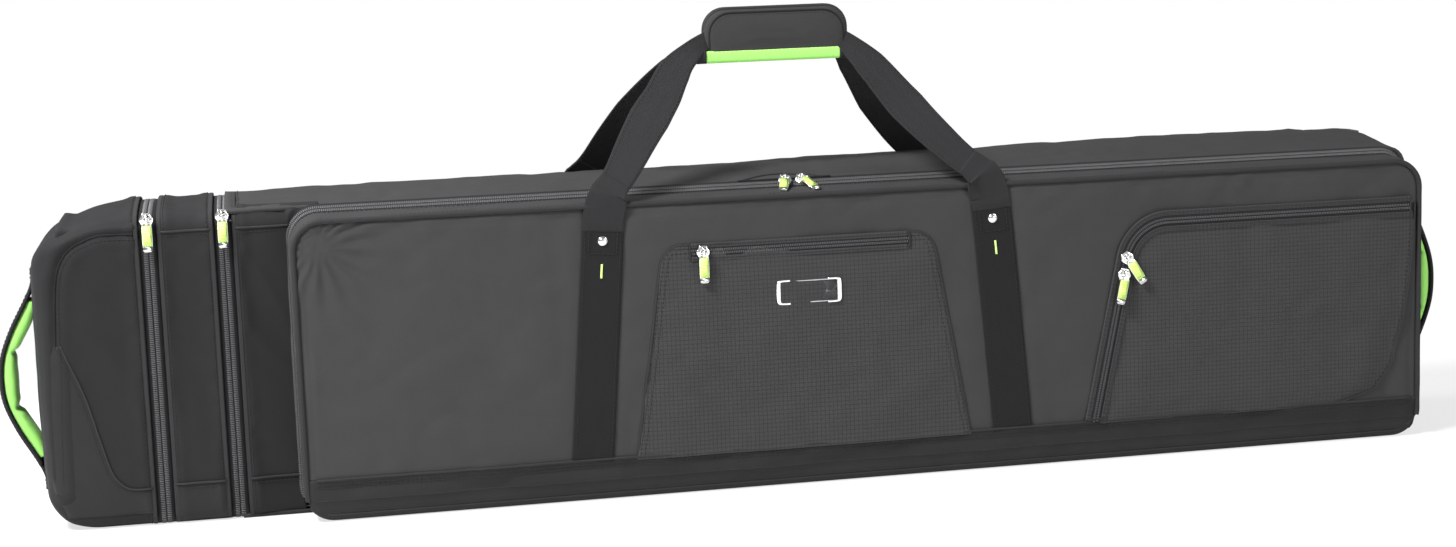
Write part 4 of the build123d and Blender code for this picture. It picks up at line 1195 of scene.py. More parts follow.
def side_left(z, inset=0.0):
    """Left edge of the right-hand pocket's face, along its zip."""
    path = side_zip_path(-inset, LID_R - 12.0, 3.0)
    order = np.argsort(path[:, 1], kind="stable")
    keep = path[order]
    rising = np.concatenate([[True], np.diff(keep[:, 1]) > 1e-6])
    return np.interp(z, keep[rising, 1], keep[rising, 0])


def side_depth(x, z):
    """Face of the right-hand pocket."""
    inside = np.minimum(np.minimum(x - side_left(z, 4.0), side_right(z) - x), SIDE_TOP - z)
    inside = np.minimum(inside, z - BASE_SEAM_Z + 10.0)
    puff = 0.6 + 2.2 * smooth(inside / 45.0)
    wrinkle = 2.4 * creases(x, z * 1.1, 55.0) * smooth((inside - 2.0) / 26.0)
    fan = np.sin((x * 0.55 + z * 0.85) / 13.0 + 1.4 * value_noise(x / 60.0, z / 60.0, 4.0))
    near_top = np.exp(-((SIDE_TOP - 24.0 - z) / 22.0) ** 2) * smooth((x - LID_R + 298.0) / 90.0)
    near_top = near_top * smooth((LID_R - 18.0 - x) / 60.0)
    near_corner = np.exp(-(np.hypot(x - LID_R + 58.0, z - 150.0) / 60.0) ** 2)
    fan = fan * (1.7 * near_top + 1.5 * near_corner)
    return np.minimum(lid_front(x, z), LID_FRONT - 1.4) - puff - wrinkle - fan


def build_side_pocket():
    inset = 8.0
    zs = height_rows(BASE_SEAM_Z, SIDE_TOP - inset, 4.0, 46.0)
    x, z = face_rows(lambda q: side_left(q, inset), side_right, zs, 110, edge_clustered(110, 0.2))
    bag = face_sheet("side_pocket_face", x, z, side_depth(x, z), 1.2, RIPSTOP, "lid")
    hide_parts("right_pocket")
    zs = spaced(BASE_SEAM_Z, SIDE_TOP + 4.0, 4.0)
    seam = np.stack([side_right(zs), zs], axis=1)
    path = at_depth(seam, side_depth(seam[:, 0] - 3.0, seam[:, 1]) + 0.2)
    bar("side_pocket_seam", path, (0, -1, 0), circle_profile(1.6, 8), PIPING, "lid")
    inner = path + [-5.0, -0.5, 0.0]
    stitch_row("side_pocket_seam_stitches", inner, (0, -1, 0), THREAD, "lid")
    line = side_zip_path(0.0, LID_R - 20.0)
    middle = at_depth(line, COIL_FACE + 0.75)
    made = zip_line("side_zip", middle, np.array([0.0, -1.0, 0.0]), 8.5, 3.6, "lid", "lid")
    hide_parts("right_pocket_chain")
    for offset, name in ((-9.6, "inner"), (9.6, "outer")):
        hem = side_zip_path(offset, LID_R - 16.0)
        hem = at_depth(hem, COIL_FACE + 1.3)
        bar("side_zip_hem_" + name, hem, (0, -1, 0), flat_profile(7.0, 2.2, 0.8), RIPSTOP, "lid")
        for shift in (-1.6, 1.6):
            row = side_zip_path(offset + shift, LID_R - 16.0)
            tag = f"{name}_{'near' if shift * offset < 0 else 'far'}"
            stitch_row("side_zip_stitches_" + tag, at_depth(row, COIL_FACE + 0.2), (0, -1, 0), THREAD, "lid")
    end = line[-1]
    path = [[end[0] + 1.0, COIL_FACE + 0.3, end[1] + h] for h in spaced(-12.0, 12.0, 1.5)]
    zip_tack("side_zip_end_tack", path, 3.0, 2.0)
    foot = line[0]
    path = [[foot[0] + h, COIL_FACE + 0.3, foot[1] + 4.0] for h in spaced(-12.0, 12.0, 1.5)]
    zip_tack("side_zip_foot_tack", path, 3.0, 2.0)


def build_name_plate():
    """Blank dark plate in a nickel frame with bracket corners."""
    size = PLATE_HIGH - PLATE_LOW
    u, v, w = np.array([1.0, 0, 0]), np.array([0, 0, 1.0]), np.array([0, -1.0, 0])
    origin = np.array([PLATE_MID[0], PLATE_HIGH[1] - 2.4, PLATE_MID[2]])
    half_w, half_h = size[0] / 2, size[2] / 2
    outline = rounded_outline(2 * half_w - 3.0, 2 * half_h - 2.6, 3.0)
    outline[:, 1] *= 1.0 + 0.09 * (1.0 - (outline[:, 0] / half_w) ** 2)
    plate = layered(outline[::-1], [(0.0, -1.4), (0.0, 0.3), (0.4, 0.7), (1.0, 0.8)], origin, u, v, w)
    face = joined("name_plate_face", [plate], DARK_METAL, "lid")
    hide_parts("name_plate")
    section = [(0.0, -0.8), (0.0, 1.0), (0.25, 1.4), (0.75, 1.4), (1.0, 1.0), (1.0, -0.8)]
    rim = ring_solid(outline[::-1], 1.5, section, origin, u, v, w)
    joined("name_plate_rim", [rim], STEEL, "lid")
    corners = []
    for hand in (-1, 1):
        arm, turn = half_w - 17.0, half_w - 2.8
        rise = half_h + 0.2
        plan = [(arm, rise + 0.4), (turn - 3.0, rise), (turn, rise - 2.6), (turn + 0.3, 0.0),
                (turn, -rise + 2.6), (turn - 3.0, -rise), (arm, -rise - 0.4)]
        flat = catmull(np.array(plan), 1.2)
        path = origin + flat[:, 0:1] * hand * u + flat[:, 1:2] * v + 1.3 * w
        upright = smooth((half_h + 1.5 - np.abs(flat[:, 1])) / 4.0)
        wide = np.stack([0.4 + 0.6 * upright, np.ones(len(flat))], axis=1)
        corners.append(capped(swept(path, w, flat_profile(5.2, 2.0, 0.7), wide)))
    joined("name_plate_brackets", corners, NICKEL, "lid")


# ---- main shell ------------------------------------------------------------------------------
HOLE_X = HOUSING_LEFT - 1.0
HOLE_Y = HOUSING_FRONT - 1.0
HOLE_HIGH = HOUSING_UNDER - 1.0
HOLE_LOW = HOUSING_OVER + 1.0
WALL_T = 5.0


def top_rise(x, y):
    """How far the padded top stands above the lid's edge."""
    back = smooth((y - SHELL_FRONT - 6.0) / 110.0)
    along = 5.0 + 9.0 * smooth((x + 600.0) / 1300.0)
    dome_up = 2.5 * np.sin(math.pi * np.clip((y - SHELL_FRONT) / (BACK - SHELL_FRONT), 0, 1))
    return 4.0 + along * back + dome_up


def around(share):
    """Inset and depth for a rear edge rounding; share runs 0..1."""
    angle = share * math.pi / 2
    return LONG_R * (1 - np.cos(angle)), LONG_R * np.sin(angle)


def wall_sections(front):
    """Depths and insets across the shell's wall strip, from the zip to the back face."""
    ys = np.concatenate([spaced(front, HOLE_Y, 4.5), spaced(HOLE_Y, BACK - LONG_R, 4.5)[1:]])
    inset, deep = around(np.linspace(0, 1, 8)[1:])
    return np.concatenate([ys, BACK - LONG_R + deep]), np.concatenate([np.zeros(len(ys)), inset])


def in_housing(x, y, z):
    return (x > HOLE_X) & (y > HOLE_Y) & ((z > HOLE_HIGH - 0.01) | (z < HOLE_LOW + 0.01))


def shell_top(x, y):
    """Height of the top fabric of the main shell."""
    swell = top_rise(x, y)
    edge = smooth((y - SHELL_FRONT) / 9.0) * smooth((BACK - y + 2.0) / 10.0)
    folds = 2.0 * creases(x * 0.8, y * 1.6, 91.0) + 0.8 * value_noise(x / 17.0, y / 40.0, 92.0)
    near_zip = 0.7 * value_noise(x / 12.0, 1.0, 93.0) * np.exp(-((y - SHELL_FRONT - 8.0) / 8.0) ** 2)
    return HEIGHT + swell + (folds + near_zip) * edge


def build_shell_walls():
    """Top, right end and base of the shell in one wall strip, open at the wheel mouldings."""
    ys, insets = wall_sections(SHELL_FRONT + 4.0)
    left, right = SHELL_LEFT, RIGHT
    top = np.concatenate([spaced(left, HOLE_X, 5.0), spaced(HOLE_X, right - CORNER_R, 5.0)[1:]])
    top = np.stack([top, np.full(len(top), HEIGHT)], axis=1)
    corner = arc_points(right - CORNER_R, HEIGHT - CORNER_R, CORNER_R, 90, 0, 12)[1:]
    side_z = spaced(HOLE_HIGH, HOLE_LOW, 5.0)
    side = np.stack([np.full(len(side_z), right), side_z], axis=1)
    low = arc_points(right - CORNER_R, CORNER_R, CORNER_R, 0, -90, 12)
    outline = np.vstack([top, corner[corner[:, 1] > HOLE_HIGH], side, low[low[:, 1] < HOLE_LOW]])
    tangent = unit(np.gradient(outline, axis=0))
    normal = np.stack([-tangent[:, 1], tangent[:, 0]], axis=1)
    x = outline[:, 0:1] - normal[:, 0:1] * insets
    z = outline[:, 1:2] - normal[:, 1:2] * insets
    y = np.repeat(ys[None, :], len(outline), axis=0)
    lift = shell_top(x, y) - HEIGHT
    upward = np.clip(normal[:, 1:2], 0, 1) ** 2
    z = z + lift * upward
    end_puff = 3.0 * np.sin(math.pi * np.clip((y - SHELL_FRONT) / (BACK - SHELL_FRONT), 0, 1))
    end_folds = 1.4 * creases(z * 1.1, y * 1.5, 94.0)
    sideways = np.clip(normal[:, 0:1], 0, 1) ** 2 * smooth((z - 30.0) / 40.0) * smooth((BACK - y) / 14.0)
    x = x + (end_puff + end_folds - 1.5) * sideways
    squarer = 6.5 * (2.0 * np.clip(normal[:, 0:1], 0, 1) * np.clip(normal[:, 1:2], 0, 1)) ** 2
    squarer = squarer * smooth((HOLE_Y - 4.0 - y) / 36.0)
    x = x + normal[:, 0:1] * squarer
    z = z + normal[:, 1:2] * squarer
    points = np.stack([x, y, z], axis=2)
    wall = sheet("shell_wall", points, WALL_T, TOPCLOTH, "shell", drop=in_housing)
    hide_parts("top_panel", "right_end_panel")
    base_x = np.concatenate([spaced(box_mm("base_panel")[0][0], HOLE_X, 6.0),
                             spaced(HOLE_X, right - CORNER_R, 5.0)[1:]])
    grid_x = np.repeat(base_x[:, None], len(ys), axis=1)
    grid_y = np.repeat(ys[None, :], len(base_x), axis=0)
    grid_z = np.repeat(insets[None, :], len(base_x), axis=0)
    base = sheet("shell_base", np.stack([grid_x, grid_y, grid_z], axis=2), WALL_T, BASE, "shell",
                 inward=(0, 0, 200), drop=in_housing)
    planar_uv(base.data, 0, 1)
    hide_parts("base_panel")


def build_front_lip():
    """Base fabric in front of the main compartment, below the lid's fold."""
    radius = CORNER_R
    swing = math.degrees(math.acos((radius - HINGE_Z + 4.0) / radius))
    left = arc_points(LID_L + radius, radius, radius, 270 - swing, 270, 8)
    right = arc_points(LID_R - radius, radius, radius, 270, 270 + swing, 8)
    outline = resample(np.vstack([left, right]), 6.0)
    tangent = unit(np.gradient(outline, axis=0))
    normal = np.stack([tangent[:, 1], -tangent[:, 0]], axis=1)
    bend = 9.0
    angles = np.linspace(0, math.pi / 2, 7)
    ys = np.concatenate([LID_FRONT + bend - bend * np.sin(angles[::-1]),
                         spaced(LID_FRONT + bend, SHELL_FRONT + 6, 6)[1:]])
    insets = np.concatenate([bend - bend * np.cos(angles[::-1]), np.zeros(len(ys) - 7)])
    x = outline[:, 0:1] - normal[:, 0:1] * insets
    z = outline[:, 1:2] - normal[:, 1:2] * insets
    y = np.repeat(ys[None, :], len(outline), axis=0)
    lip = sheet("shell_front_lip", np.stack([x, y, z], axis=2), WALL_T, BASE, "shell",
                inward=(0, 0, 200))
    planar_uv(lip.data, 0, 1)


def build_back():
    """Padded back panel with its seam and base strip."""
    xs = np.concatenate([spaced(SHELL_LEFT, HOLE_X, 6.0), spaced(HOLE_X, RIGHT - LONG_R, 5.0)[1:]])
    zs = np.concatenate([
        spaced(LONG_R, HOLE_LOW, 5.0), spaced(HOLE_LOW, HOLE_HIGH, 5.0)[1:],
        spaced(HOLE_HIGH, HEIGHT - LONG_R, 5.0)[1:],
    ])
    x = np.repeat(xs[:, None], len(zs), axis=1)
    z = np.repeat(zs[None, :], len(xs), axis=0)
    over = z + (shell_top(x, np.full_like(x, BACK)) - HEIGHT) * smooth((z - HEIGHT + 40.0) / 26.0)
    points = np.stack([x, rear_face(x, z), over], axis=2)
    panel = sheet("back_face", points, WALL_T, RIPSTOP, "shell", inward=(0, 0, 180),
                  drop=in_housing)
    planar_uv(panel.data, 0, 2)
    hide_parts("back_panel")
    xs = spaced(SHELL_LEFT + 2.0, HOLE_X - 2.0, 6.0)
    for height, name in ((HEIGHT - LONG_R - 2.0, "high"), (BASE_SEAM_Z, "low")):
        share = float(smooth((height - HEIGHT + 40.0) / 26.0))
        lift = (shell_top(xs, np.full_like(xs, BACK)) - HEIGHT) * share
        path = np.stack([xs, rear_face(xs, np.full_like(xs, height)) + 0.4, height + lift], axis=1)
        bar("back_piping_" + name, path, (0, 1, 0), circle_profile(2.2, 10), PIPING, "shell")
        stitch_row("back_stitches_" + name, path + [0, -0.2, -6.0], (0, 1, 0), THREAD, "shell")
    zs = spaced(LONG_R, BASE_SEAM_Z, 4.0)
    x = np.repeat(xs[:, None], len(zs), axis=1)
    z = np.repeat(zs[None, :], len(xs), axis=0)
    strip = sheet("back_base_strip", np.stack([x, rear_face(x, z) + 0.9, z], axis=2), 1.6, BASE, "shell",
                  inward=(0, 0, 180))
    planar_uv(strip.data, 0, 2)


def build_shell_lining():
    """Lining inside the main compartment."""
    ys = spaced(SHELL_FRONT + 5.0, BACK - 12.0, 8.0)
    inner = 8.0
    radius = CORNER_R - inner
    left = STUB_RIGHT - 60.0
    line = resample(np.vstack([
        [[left, HEIGHT - inner]],
        arc_points(RIGHT - CORNER_R, HEIGHT - CORNER_R, radius, 90, 0, 9),
        arc_points(RIGHT - CORNER_R, CORNER_R, radius, 0, -90, 9),
        [[left, inner]],
    ]), 8.0)
    clear = 58.0
    points = np.stack([
        np.repeat(line[:, 0:1], len(ys), axis=1), np.repeat(ys[None, :], len(line), axis=0),
        np.repeat(line[:, 1:2], len(ys), axis=1),
    ], axis=2)

    def beside_wheels(x, y, z):
        return (x > HOUSING_LEFT - 6) & (y > HOUSING_FRONT - 6) & ((z > HEIGHT - clear) | (z < clear))

    sheet("shell_lining", points, 1.2, LINING, "shell", inward=(0, 20, 180),
          drop=beside_wheels)


# ---- left-hand sections ----------------------------------------------------------------------
SECTION_MID_Y = (SLEEVE_FRONT + BACK) / 2


def section_loop(step=4.0):
    """Loop (y, z) with normals round a section: base middle, forwards, up, back and down."""
    r = LONG_R
    path = np.vstack([
        [[SECTION_MID_Y, 0.0]],
        arc_points(SLEEVE_FRONT + r, r, r, 270, 180, 7),
        arc_points(SLEEVE_FRONT + r, HEIGHT - r, r, 180, 90, 7),
        arc_points(BACK - r, HEIGHT - r, r, 90, 0, 7),
        arc_points(BACK - r, r, r, 0, -90, 7),
        [[SECTION_MID_Y, 0.0]],
    ])
    path = resample(path, step)
    tangent = unit(np.gradient(path, axis=0))
    normal = np.stack([-tangent[:, 1], tangent[:, 0]], axis=1)
    normal[0] = normal[-1] = (0.0, -1.0)
    return path, normal


def section_puff(x, y, z, ny, nz):
    """Outward swell of a left-hand section's fabric at base points with normals (ny, nz)."""
    across = (y - SECTION_MID_Y) / ((BACK - SLEEVE_FRONT) / 2)
    crown = 11.0 * np.clip(nz, 0, 1) ** 2 * np.clip(1 - across**2, 0, 1)
    leftward = smooth((x - CAP_LEFT - 2.0) / 90.0)
    rise = 4.0 * smooth((z - HEIGHT + 60.0) / 60.0) * smooth((y + 20.0) / 130.0) * np.clip(nz, 0, 1)
    flat_base = np.clip(-nz, 0, 1)
    face = 2.4 * np.abs(ny) * smooth(z / 60.0) * smooth((HEIGHT - z) / 50.0)
    swell = crown * (0.35 + 0.65 * leftward) + rise + face
    valley = np.zeros_like(swell)
    for zip_x in (OUTER_ZIP_X, INNER_ZIP_X):
        off = np.abs(x - zip_x)
        valley = valley + 5.4 * np.exp(-((off / 12.5) ** 4)) - 1.8 * np.exp(-(((off - 21.0) / 7.0) ** 2))
    folds = 4.6 * creases(y * 1.2 + x * 0.6, z * 0.8 + x * 1.1, 120.0)
    tight = 1.5 * value_noise((y + z) / 13.0, x / 34.0, 121.0)
    nearest = np.minimum(np.abs(x - OUTER_ZIP_X), np.abs(x - INNER_ZIP_X))
    calm = smooth((nearest - 13.0) / 12.0)
    pucker = np.exp(-((nearest - 19.0) / 9.0) ** 2)
    return (swell - valley + (folds * calm + tight * pucker * calm)) * (1 - flat_base)


def section_points(x, loop, normal, extra=0.0):
    """Points of a section's surface: x has one value or row per station."""
    y = np.repeat(loop[None, :, 0], len(x), axis=0)
    z = np.repeat(loop[None, :, 1], len(x), axis=0)
    xx = np.repeat(np.asarray(x)[:, None], len(loop), axis=1)
    ny, nz = normal[None, :, 0], normal[None, :, 1]
    puff = section_puff(xx, y, z, ny, nz) + extra
    return np.stack([xx, y + ny * puff, np.maximum(z + nz * puff, 0.0)], axis=2)


def section_piece(name, xs, material, body, extra=0.0, thickness=WALL_T, where=None):
    loop, normal = section_loop()
    if where is not None:
        keep = where(loop[:, 0], loop[:, 1])
        loop, normal = loop[keep], normal[keep]
    return sheet(name, section_points(xs, loop, normal, extra), thickness, material, body,
                 inward=(xs[0], SECTION_MID_Y, HEIGHT / 2))


END_R = 30.0
SAG_START = CAP_RIGHT - 19.0
SAG_DEEP = 31.0
CAP_HEART = np.array([CAP_LEFT + 92.0, 200.0])


def cap_sag(x, z):
    """How far the end cap's upper corner falls, and its lower corner rises, at points of its plain form."""
    near = np.clip((SAG_START - x) / (SAG_START - CAP_LEFT), 0, 1)
    low = np.clip((CAP_LEFT + 62.0 - x) / 62.0, 0, 1)
    lift = 22.0 * low**2.0 * np.clip((95.0 - z) / 95.0, 0, 1) ** 1.5
    return SAG_DEEP * near**1.6 * np.clip((z - 150.0) / (HEIGHT - 150.0), 0, 1) ** 1.5 - lift


def plain_height(x, z):
    """Height on the cap's plain form of a point that sags to height z."""
    plain = np.array(z, float)
    for _ in range(12):
        plain = z + cap_sag(x, plain)
    return plain


def cap_seam():
    """(x, z) path of the seam along the cap's front: under its top, round the corner, down its end."""
    from_corner = np.array([
        (82.0, -17.5), (60.0, -24.0), (45.0, -33.0), (35.0, -47.0), (29.5, -64.0), (27.0, -82.0),
        (24.0, -126.0), (21.0, -216.0), (18.5, -316.0),
    ])
    start = [[OUTER_ZIP_X - 13.0, HEIGHT - 18.0]]
    return catmull(np.vstack([start, from_corner + [CAP_LEFT, HEIGHT]]), 4.0)


def seam_distance(x, z, seam):
    """Distance from points to a seam, and the share by which they lie outside it."""
    flat = np.stack([x.ravel(), z.ravel()], axis=1)
    gap = np.linalg.norm(flat[:, None, :] - seam[None, :, :], axis=2)
    nearest = seam[gap.argmin(axis=1)]
    outside = np.linalg.norm(flat - CAP_HEART, axis=1) > np.linalg.norm(nearest - CAP_HEART, axis=1)
    return gap.min(axis=1).reshape(x.shape), outside.reshape(x.shape)


def cap_grid():
    """Grid over the end cap: straight sleeve, rounding and end face in one shrinking set of rings."""
    loop, normal = section_loop(3.0)
    stations = spaced(OUTER_ZIP_X - 0.6, CAP_LEFT + END_R, 3.4)
    rows = [section_points(np.array([x]), loop, normal)[0] for x in stations]
    last = rows[-1]
    centre = np.array([SECTION_MID_Y, HEIGHT / 2])
    half = np.array([(BACK - SLEEVE_FRONT) / 2, HEIGHT / 2])
    for turn in np.radians(np.linspace(0, 90, 14)[1:]):
        row = last.copy()
        row[:, 0] = CAP_LEFT + END_R - END_R * math.sin(turn)
        row[:, 1:] = centre + (last[:, 1:] - centre) * (1 - END_R * (1 - math.cos(turn)) / half)
        rows.append(row)
    grid = np.array(rows)
    grid[:, :, 2] -= cap_sag(grid[:, :, 0], grid[:, :, 2])
    gap, outside = seam_distance(grid[:, :, 0], grid[:, :, 2], cap_seam())
    front = smooth((-normal[None, :, 0] - 0.75) / 0.2) * smooth((SLEEVE_FRONT + 10.0 - grid[:, :, 1]) / 5.0)
    ridge = np.where(outside, 2.4, 1.4) * np.exp(-((gap - 11.0) / 7.0) ** 2)
    grid[:, :, 1] += front * (3.4 * np.exp(-((gap / 4.2) ** 2)) - ridge)
    return grid, centre


def end_face_depth(y, z):
    """End face of the cap."""
    dy = np.abs(y - SECTION_MID_Y) / ((BACK - SLEEVE_FRONT) / 2 - END_R)
    dz = np.abs(z - HEIGHT / 2) / (HEIGHT / 2 - END_R)
    crown = np.clip(1 - dy**2, 0, 1) * np.clip(1 - dz**2, 0, 1)
    folds = 1.4 * creases(z, y * 1.4, 133.0) * np.sqrt(crown)
    return CAP_LEFT - 6.0 * np.sqrt(crown) - folds


def section_front(x, z, extra=0.0):
    """Depth of a left-hand section's front face at points of its plain form."""
    x, z = np.asarray(x, float), np.asarray(z, float)
    level = np.maximum(x, CAP_LEFT + END_R)
    puff = section_puff(level, np.full_like(x, SLEEVE_FRONT), z, -1.0, 0.0) + extra
    near_left = np.clip(CAP_LEFT + END_R - x, 0, END_R * 0.999)
    turned = END_R - np.sqrt(END_R**2 - near_left**2)
    return SLEEVE_FRONT - puff + turned


def cap_front_path(line, extra=0.0):
    """3-D path on the cap's front through (x, z) points of its finished form."""
    plain = plain_height(line[:, 0], line[:, 1])
    return at_depth(line, section_front(line[:, 0], plain, extra))


def build_cap():
    rows, centre = cap_grid()
    sleeve = sheet("cap_sleeve_fabric", rows, WALL_T, SECTION_PAINTED_SHADE, "end_cap",
                   inward=(CAP_RIGHT, SECTION_MID_Y, HEIGHT / 2))
    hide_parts("cap_sleeve")
    rim = rows[-1]
    face_rings = [rim[:-1]]
    for share in np.linspace(0.97, 0.06, 18):
        ring = rim[:-1].copy()
        ring[:, 1:] = centre + (rim[:-1, 1:] - centre) * share
        ring[:, 0] = end_face_depth(ring[:, 1], ring[:, 2])
        face_rings.append(ring)
    rings = np.array(face_rings)
    closed = np.concatenate([rings[::-1], rings + np.array([WALL_T, 0, 0])])
    end = joined("cap_end_fabric", [capped(closed)], SECTION_PAINTED_SHADE, "end_cap")
    planar_uv(end.data, 1, 2)
    line = cap_seam()
    seam = cap_front_path(line, -2.6)
    bar("cap_front_seam", seam, (0, -1, 0), circle_profile(1.6, 8), TAPE, "end_cap")
    inward = unit(CAP_HEART - line)
    inner = cap_front_path(line + inward * 5.5, 1.1)
    stitch_row("cap_front_stitches", inner, (0, -1, 0), THREAD, "end_cap")


def build_cap_base():
    """Base-fabric corner on the cap's front, edged by a slanting seam."""
    from_foot = np.array([
        (29.0, 223.0), (38.0, 199.0), (48.0, 174.0), (57.0, 146.0), (75.0, 76.0), (85.0, 56.0), (98.0, 47.0),
    ])
    end = [[OUTER_ZIP_X - 14.0, 46.0]]
    seam = catmull(np.vstack([from_foot + [CAP_LEFT, 0.0], end]), 4.0)
    zs = spaced(16.0, 222.0, 4.0)
    order = np.argsort(seam[:, 1])
    right = np.interp(zs, seam[order, 1], seam[order, 0])
    right = np.where(zs < 46.5, OUTER_ZIP_X - 14.0, right)
    left = np.minimum(CAP_LEFT + 9.0 + 15.0 * smooth((56.0 - zs) / 44.0), right - 3.0)
    share = np.linspace(0, 1, 30)
    x = left[:, None] + (right - left)[:, None] * share
    z = np.repeat(zs[:, None], len(share), axis=1)
    depth = section_front(x, plain_height(x, z), 0.9 - 2.4 * smooth((z - 206.0) / 16.0))
    face_sheet("cap_base_corner", x, z, depth, 1.6, BASE, "end_cap")
    bar("cap_base_seam", cap_front_path(seam, 1.5), (0, -1, 0), circle_profile(1.2, 8), PIPING, "end_cap")
    stitch_row("cap_base_stitches", cap_front_path(seam + [-5.0, -2.0], 1.3), (0, -1, 0), THREAD, "end_cap")


def loop_seam(name, xs, body, top=True):
    """Seams along a section's front, near its top edge and at its base fabric, with their stitches."""
    levels = [("base", BASE_SEAM_Z + 1.0, 1.4)] + ([("top", HEIGHT - 17.0, 0.5)] if top else [])
    for word, height, lift in levels:
        heights = np.full(len(xs), height)
        path = np.stack([xs, section_front(xs, heights, lift), heights], axis=1)
        bar(f"{name}_{word}_seam", path, (0, -1, 0), circle_profile(1.4, 8), PIPING, body)
        stitch_row(f"{name}_{word}_stitches", path + [0, -0.1, -5.0], (0, -1, 0), THREAD, body)


def front_base_part(y, z):
    return (z < BASE_SEAM_Z + 1.0) & (y < SECTION_MID_Y)


def build_sections():
    """End cap, middle band and the shell's own left collar."""
    build_cap()
    build_cap_base()
    band_x = spaced(OUTER_ZIP_X + 0.6, INNER_ZIP_X - 0.6, 3.2)
    band = section_piece("band_fabric", band_x, SECTION_PAINTED_SHADE, "band")
    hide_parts("band_sleeve")
    section_piece("band_base", band_x[3:-3], BASE, "band", 0.9, 1.6, front_base_part)
    collar_x = spaced(INNER_ZIP_X + 0.6, LID_L + 3.0, 3.2)
    loop, normal = section_loop()
    front = loop[:, 0] < SHELL_FRONT + 30.0
    points = section_points(collar_x, loop[front], normal[front])
    collar = sheet("collar_fabric", points, WALL_T, SECTION_PAINTED_SHADE, "shell",
                   inward=(collar_x[0], SECTION_MID_Y, HEIGHT / 2))
    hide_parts("front_strip")
    loop_seam("band", spaced(OUTER_ZIP_X + 14.0, INNER_ZIP_X - 14.0, 4.0), "band")
    loop_seam("collar", spaced(INNER_ZIP_X + 14.0, LID_L + 2.0, 4.0), "shell")
    build_collar_corner()


def build_collar_corner():
    """Shell fabric between the collar, the top and the lid's rounded upper left corner."""
    turns = np.radians(np.linspace(182, 88, 26))
    ray = np.stack([np.cos(turns), np.sin(turns)], axis=1)
    outer = (CORNER_R + 8.0) / np.maximum(np.abs(ray).max(axis=1), 1e-6)
    share = np.linspace(0, 1, 12)
    radius = (CORNER_R - 4.0) * (1 - share)[None, :] + outer[:, None] * share[None, :]
    x = LID_L + CORNER_R + ray[:, 0:1] * radius
    z = HEIGHT - CORNER_R + ray[:, 1:2] * radius
    folds = 1.6 * np.sin(radius / 2.6 + turns[:, None] * 5.0) * np.sin(math.pi * share)[None, :]
    depth = SLEEVE_FRONT - 1.0 + 13.0 * share[None, :] ** 3 + folds
    face_sheet("collar_corner", x, z, depth, 2.0, SECTION_PAINTED_SHADE, "shell")


def build_expansion_zips():
    """Both expansion zips: coil, tapes and folded fabric edges, all the way round."""
    loop, normal = section_loop(4.0)
    for tag, zip_x, left_body, right_body in (
        ("outer_zip", OUTER_ZIP_X, "end_cap", "band"), ("inner_zip", INNER_ZIP_X, "band", "shell"),
    ):
        surface = section_points(np.array([zip_x]), loop, normal)[0]
        n3 = np.stack([np.zeros(len(loop)), normal[:, 0], normal[:, 1]], axis=1)
        line = surface + n3 * 2.0
        line[:, 2] = np.maximum(line[:, 2], 1.2)
        # across = tangent x normal: the loop rises at the front, so side a is towards the right.
        zip_line(tag, line, n3, 12.5, 6.0, right_body, left_body)
        for hand, body in ((-1, left_body), (1, right_body)):
            x = zip_x + hand * 13.4
            hem = section_points(np.array([x]), loop, normal)[0] + n3 * 0.7
            hem[:, 2] = np.maximum(hem[:, 2], 1.3)
            side = "left" if hand < 0 else "right"
            bar(f"{tag}_hem_{side}", hem, n3, flat_profile(5.0, 2.4, 0.9), PIPING, body)
            row = section_points(np.array([zip_x + hand * 18.0]), loop, normal)[0] + n3 * 0.2
            stitch_row(f"{tag}_stitches_{side}", row[12:-12], n3[12:-12], THREAD, body)
    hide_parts("cap_chain")
    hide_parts("band_chains")
    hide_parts("shell_expansion_chain")


def build_gusset_folds():
    """Dark folded gussets that show when the expansion zips are open."""
    for node, body in (("band_gusset_fold", "band"), ("shell_gusset_fold", "shell")):
        low, high = box_mm(node)
        offset = low[2]
        loop, normal = section_loop(6.0)
        xs = spaced(low[0], high[0], 3.0)
        y = loop[None, :, 0] - normal[None, :, 0] * offset
        z = loop[None, :, 1] - normal[None, :, 1] * offset
        pleat = 1.4 * np.sin(xs[:, None] / 3.4)
        pleat = pleat + 1.2 * value_noise(xs[:, None] / 22.0, (y + z) / 40.0, 150.0)
        xx = np.repeat(xs[:, None], len(loop), axis=1)
        points = np.stack([xx, y + normal[None, :, 0] * pleat * 0.5,
                           z + normal[None, :, 1] * pleat * 0.5], axis=2)
        piece = sheet(node + "_cloth", points, 1.2, GUSSET, body,
                      inward=(low[0], SECTION_MID_Y, HEIGHT / 2))
        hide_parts(node)


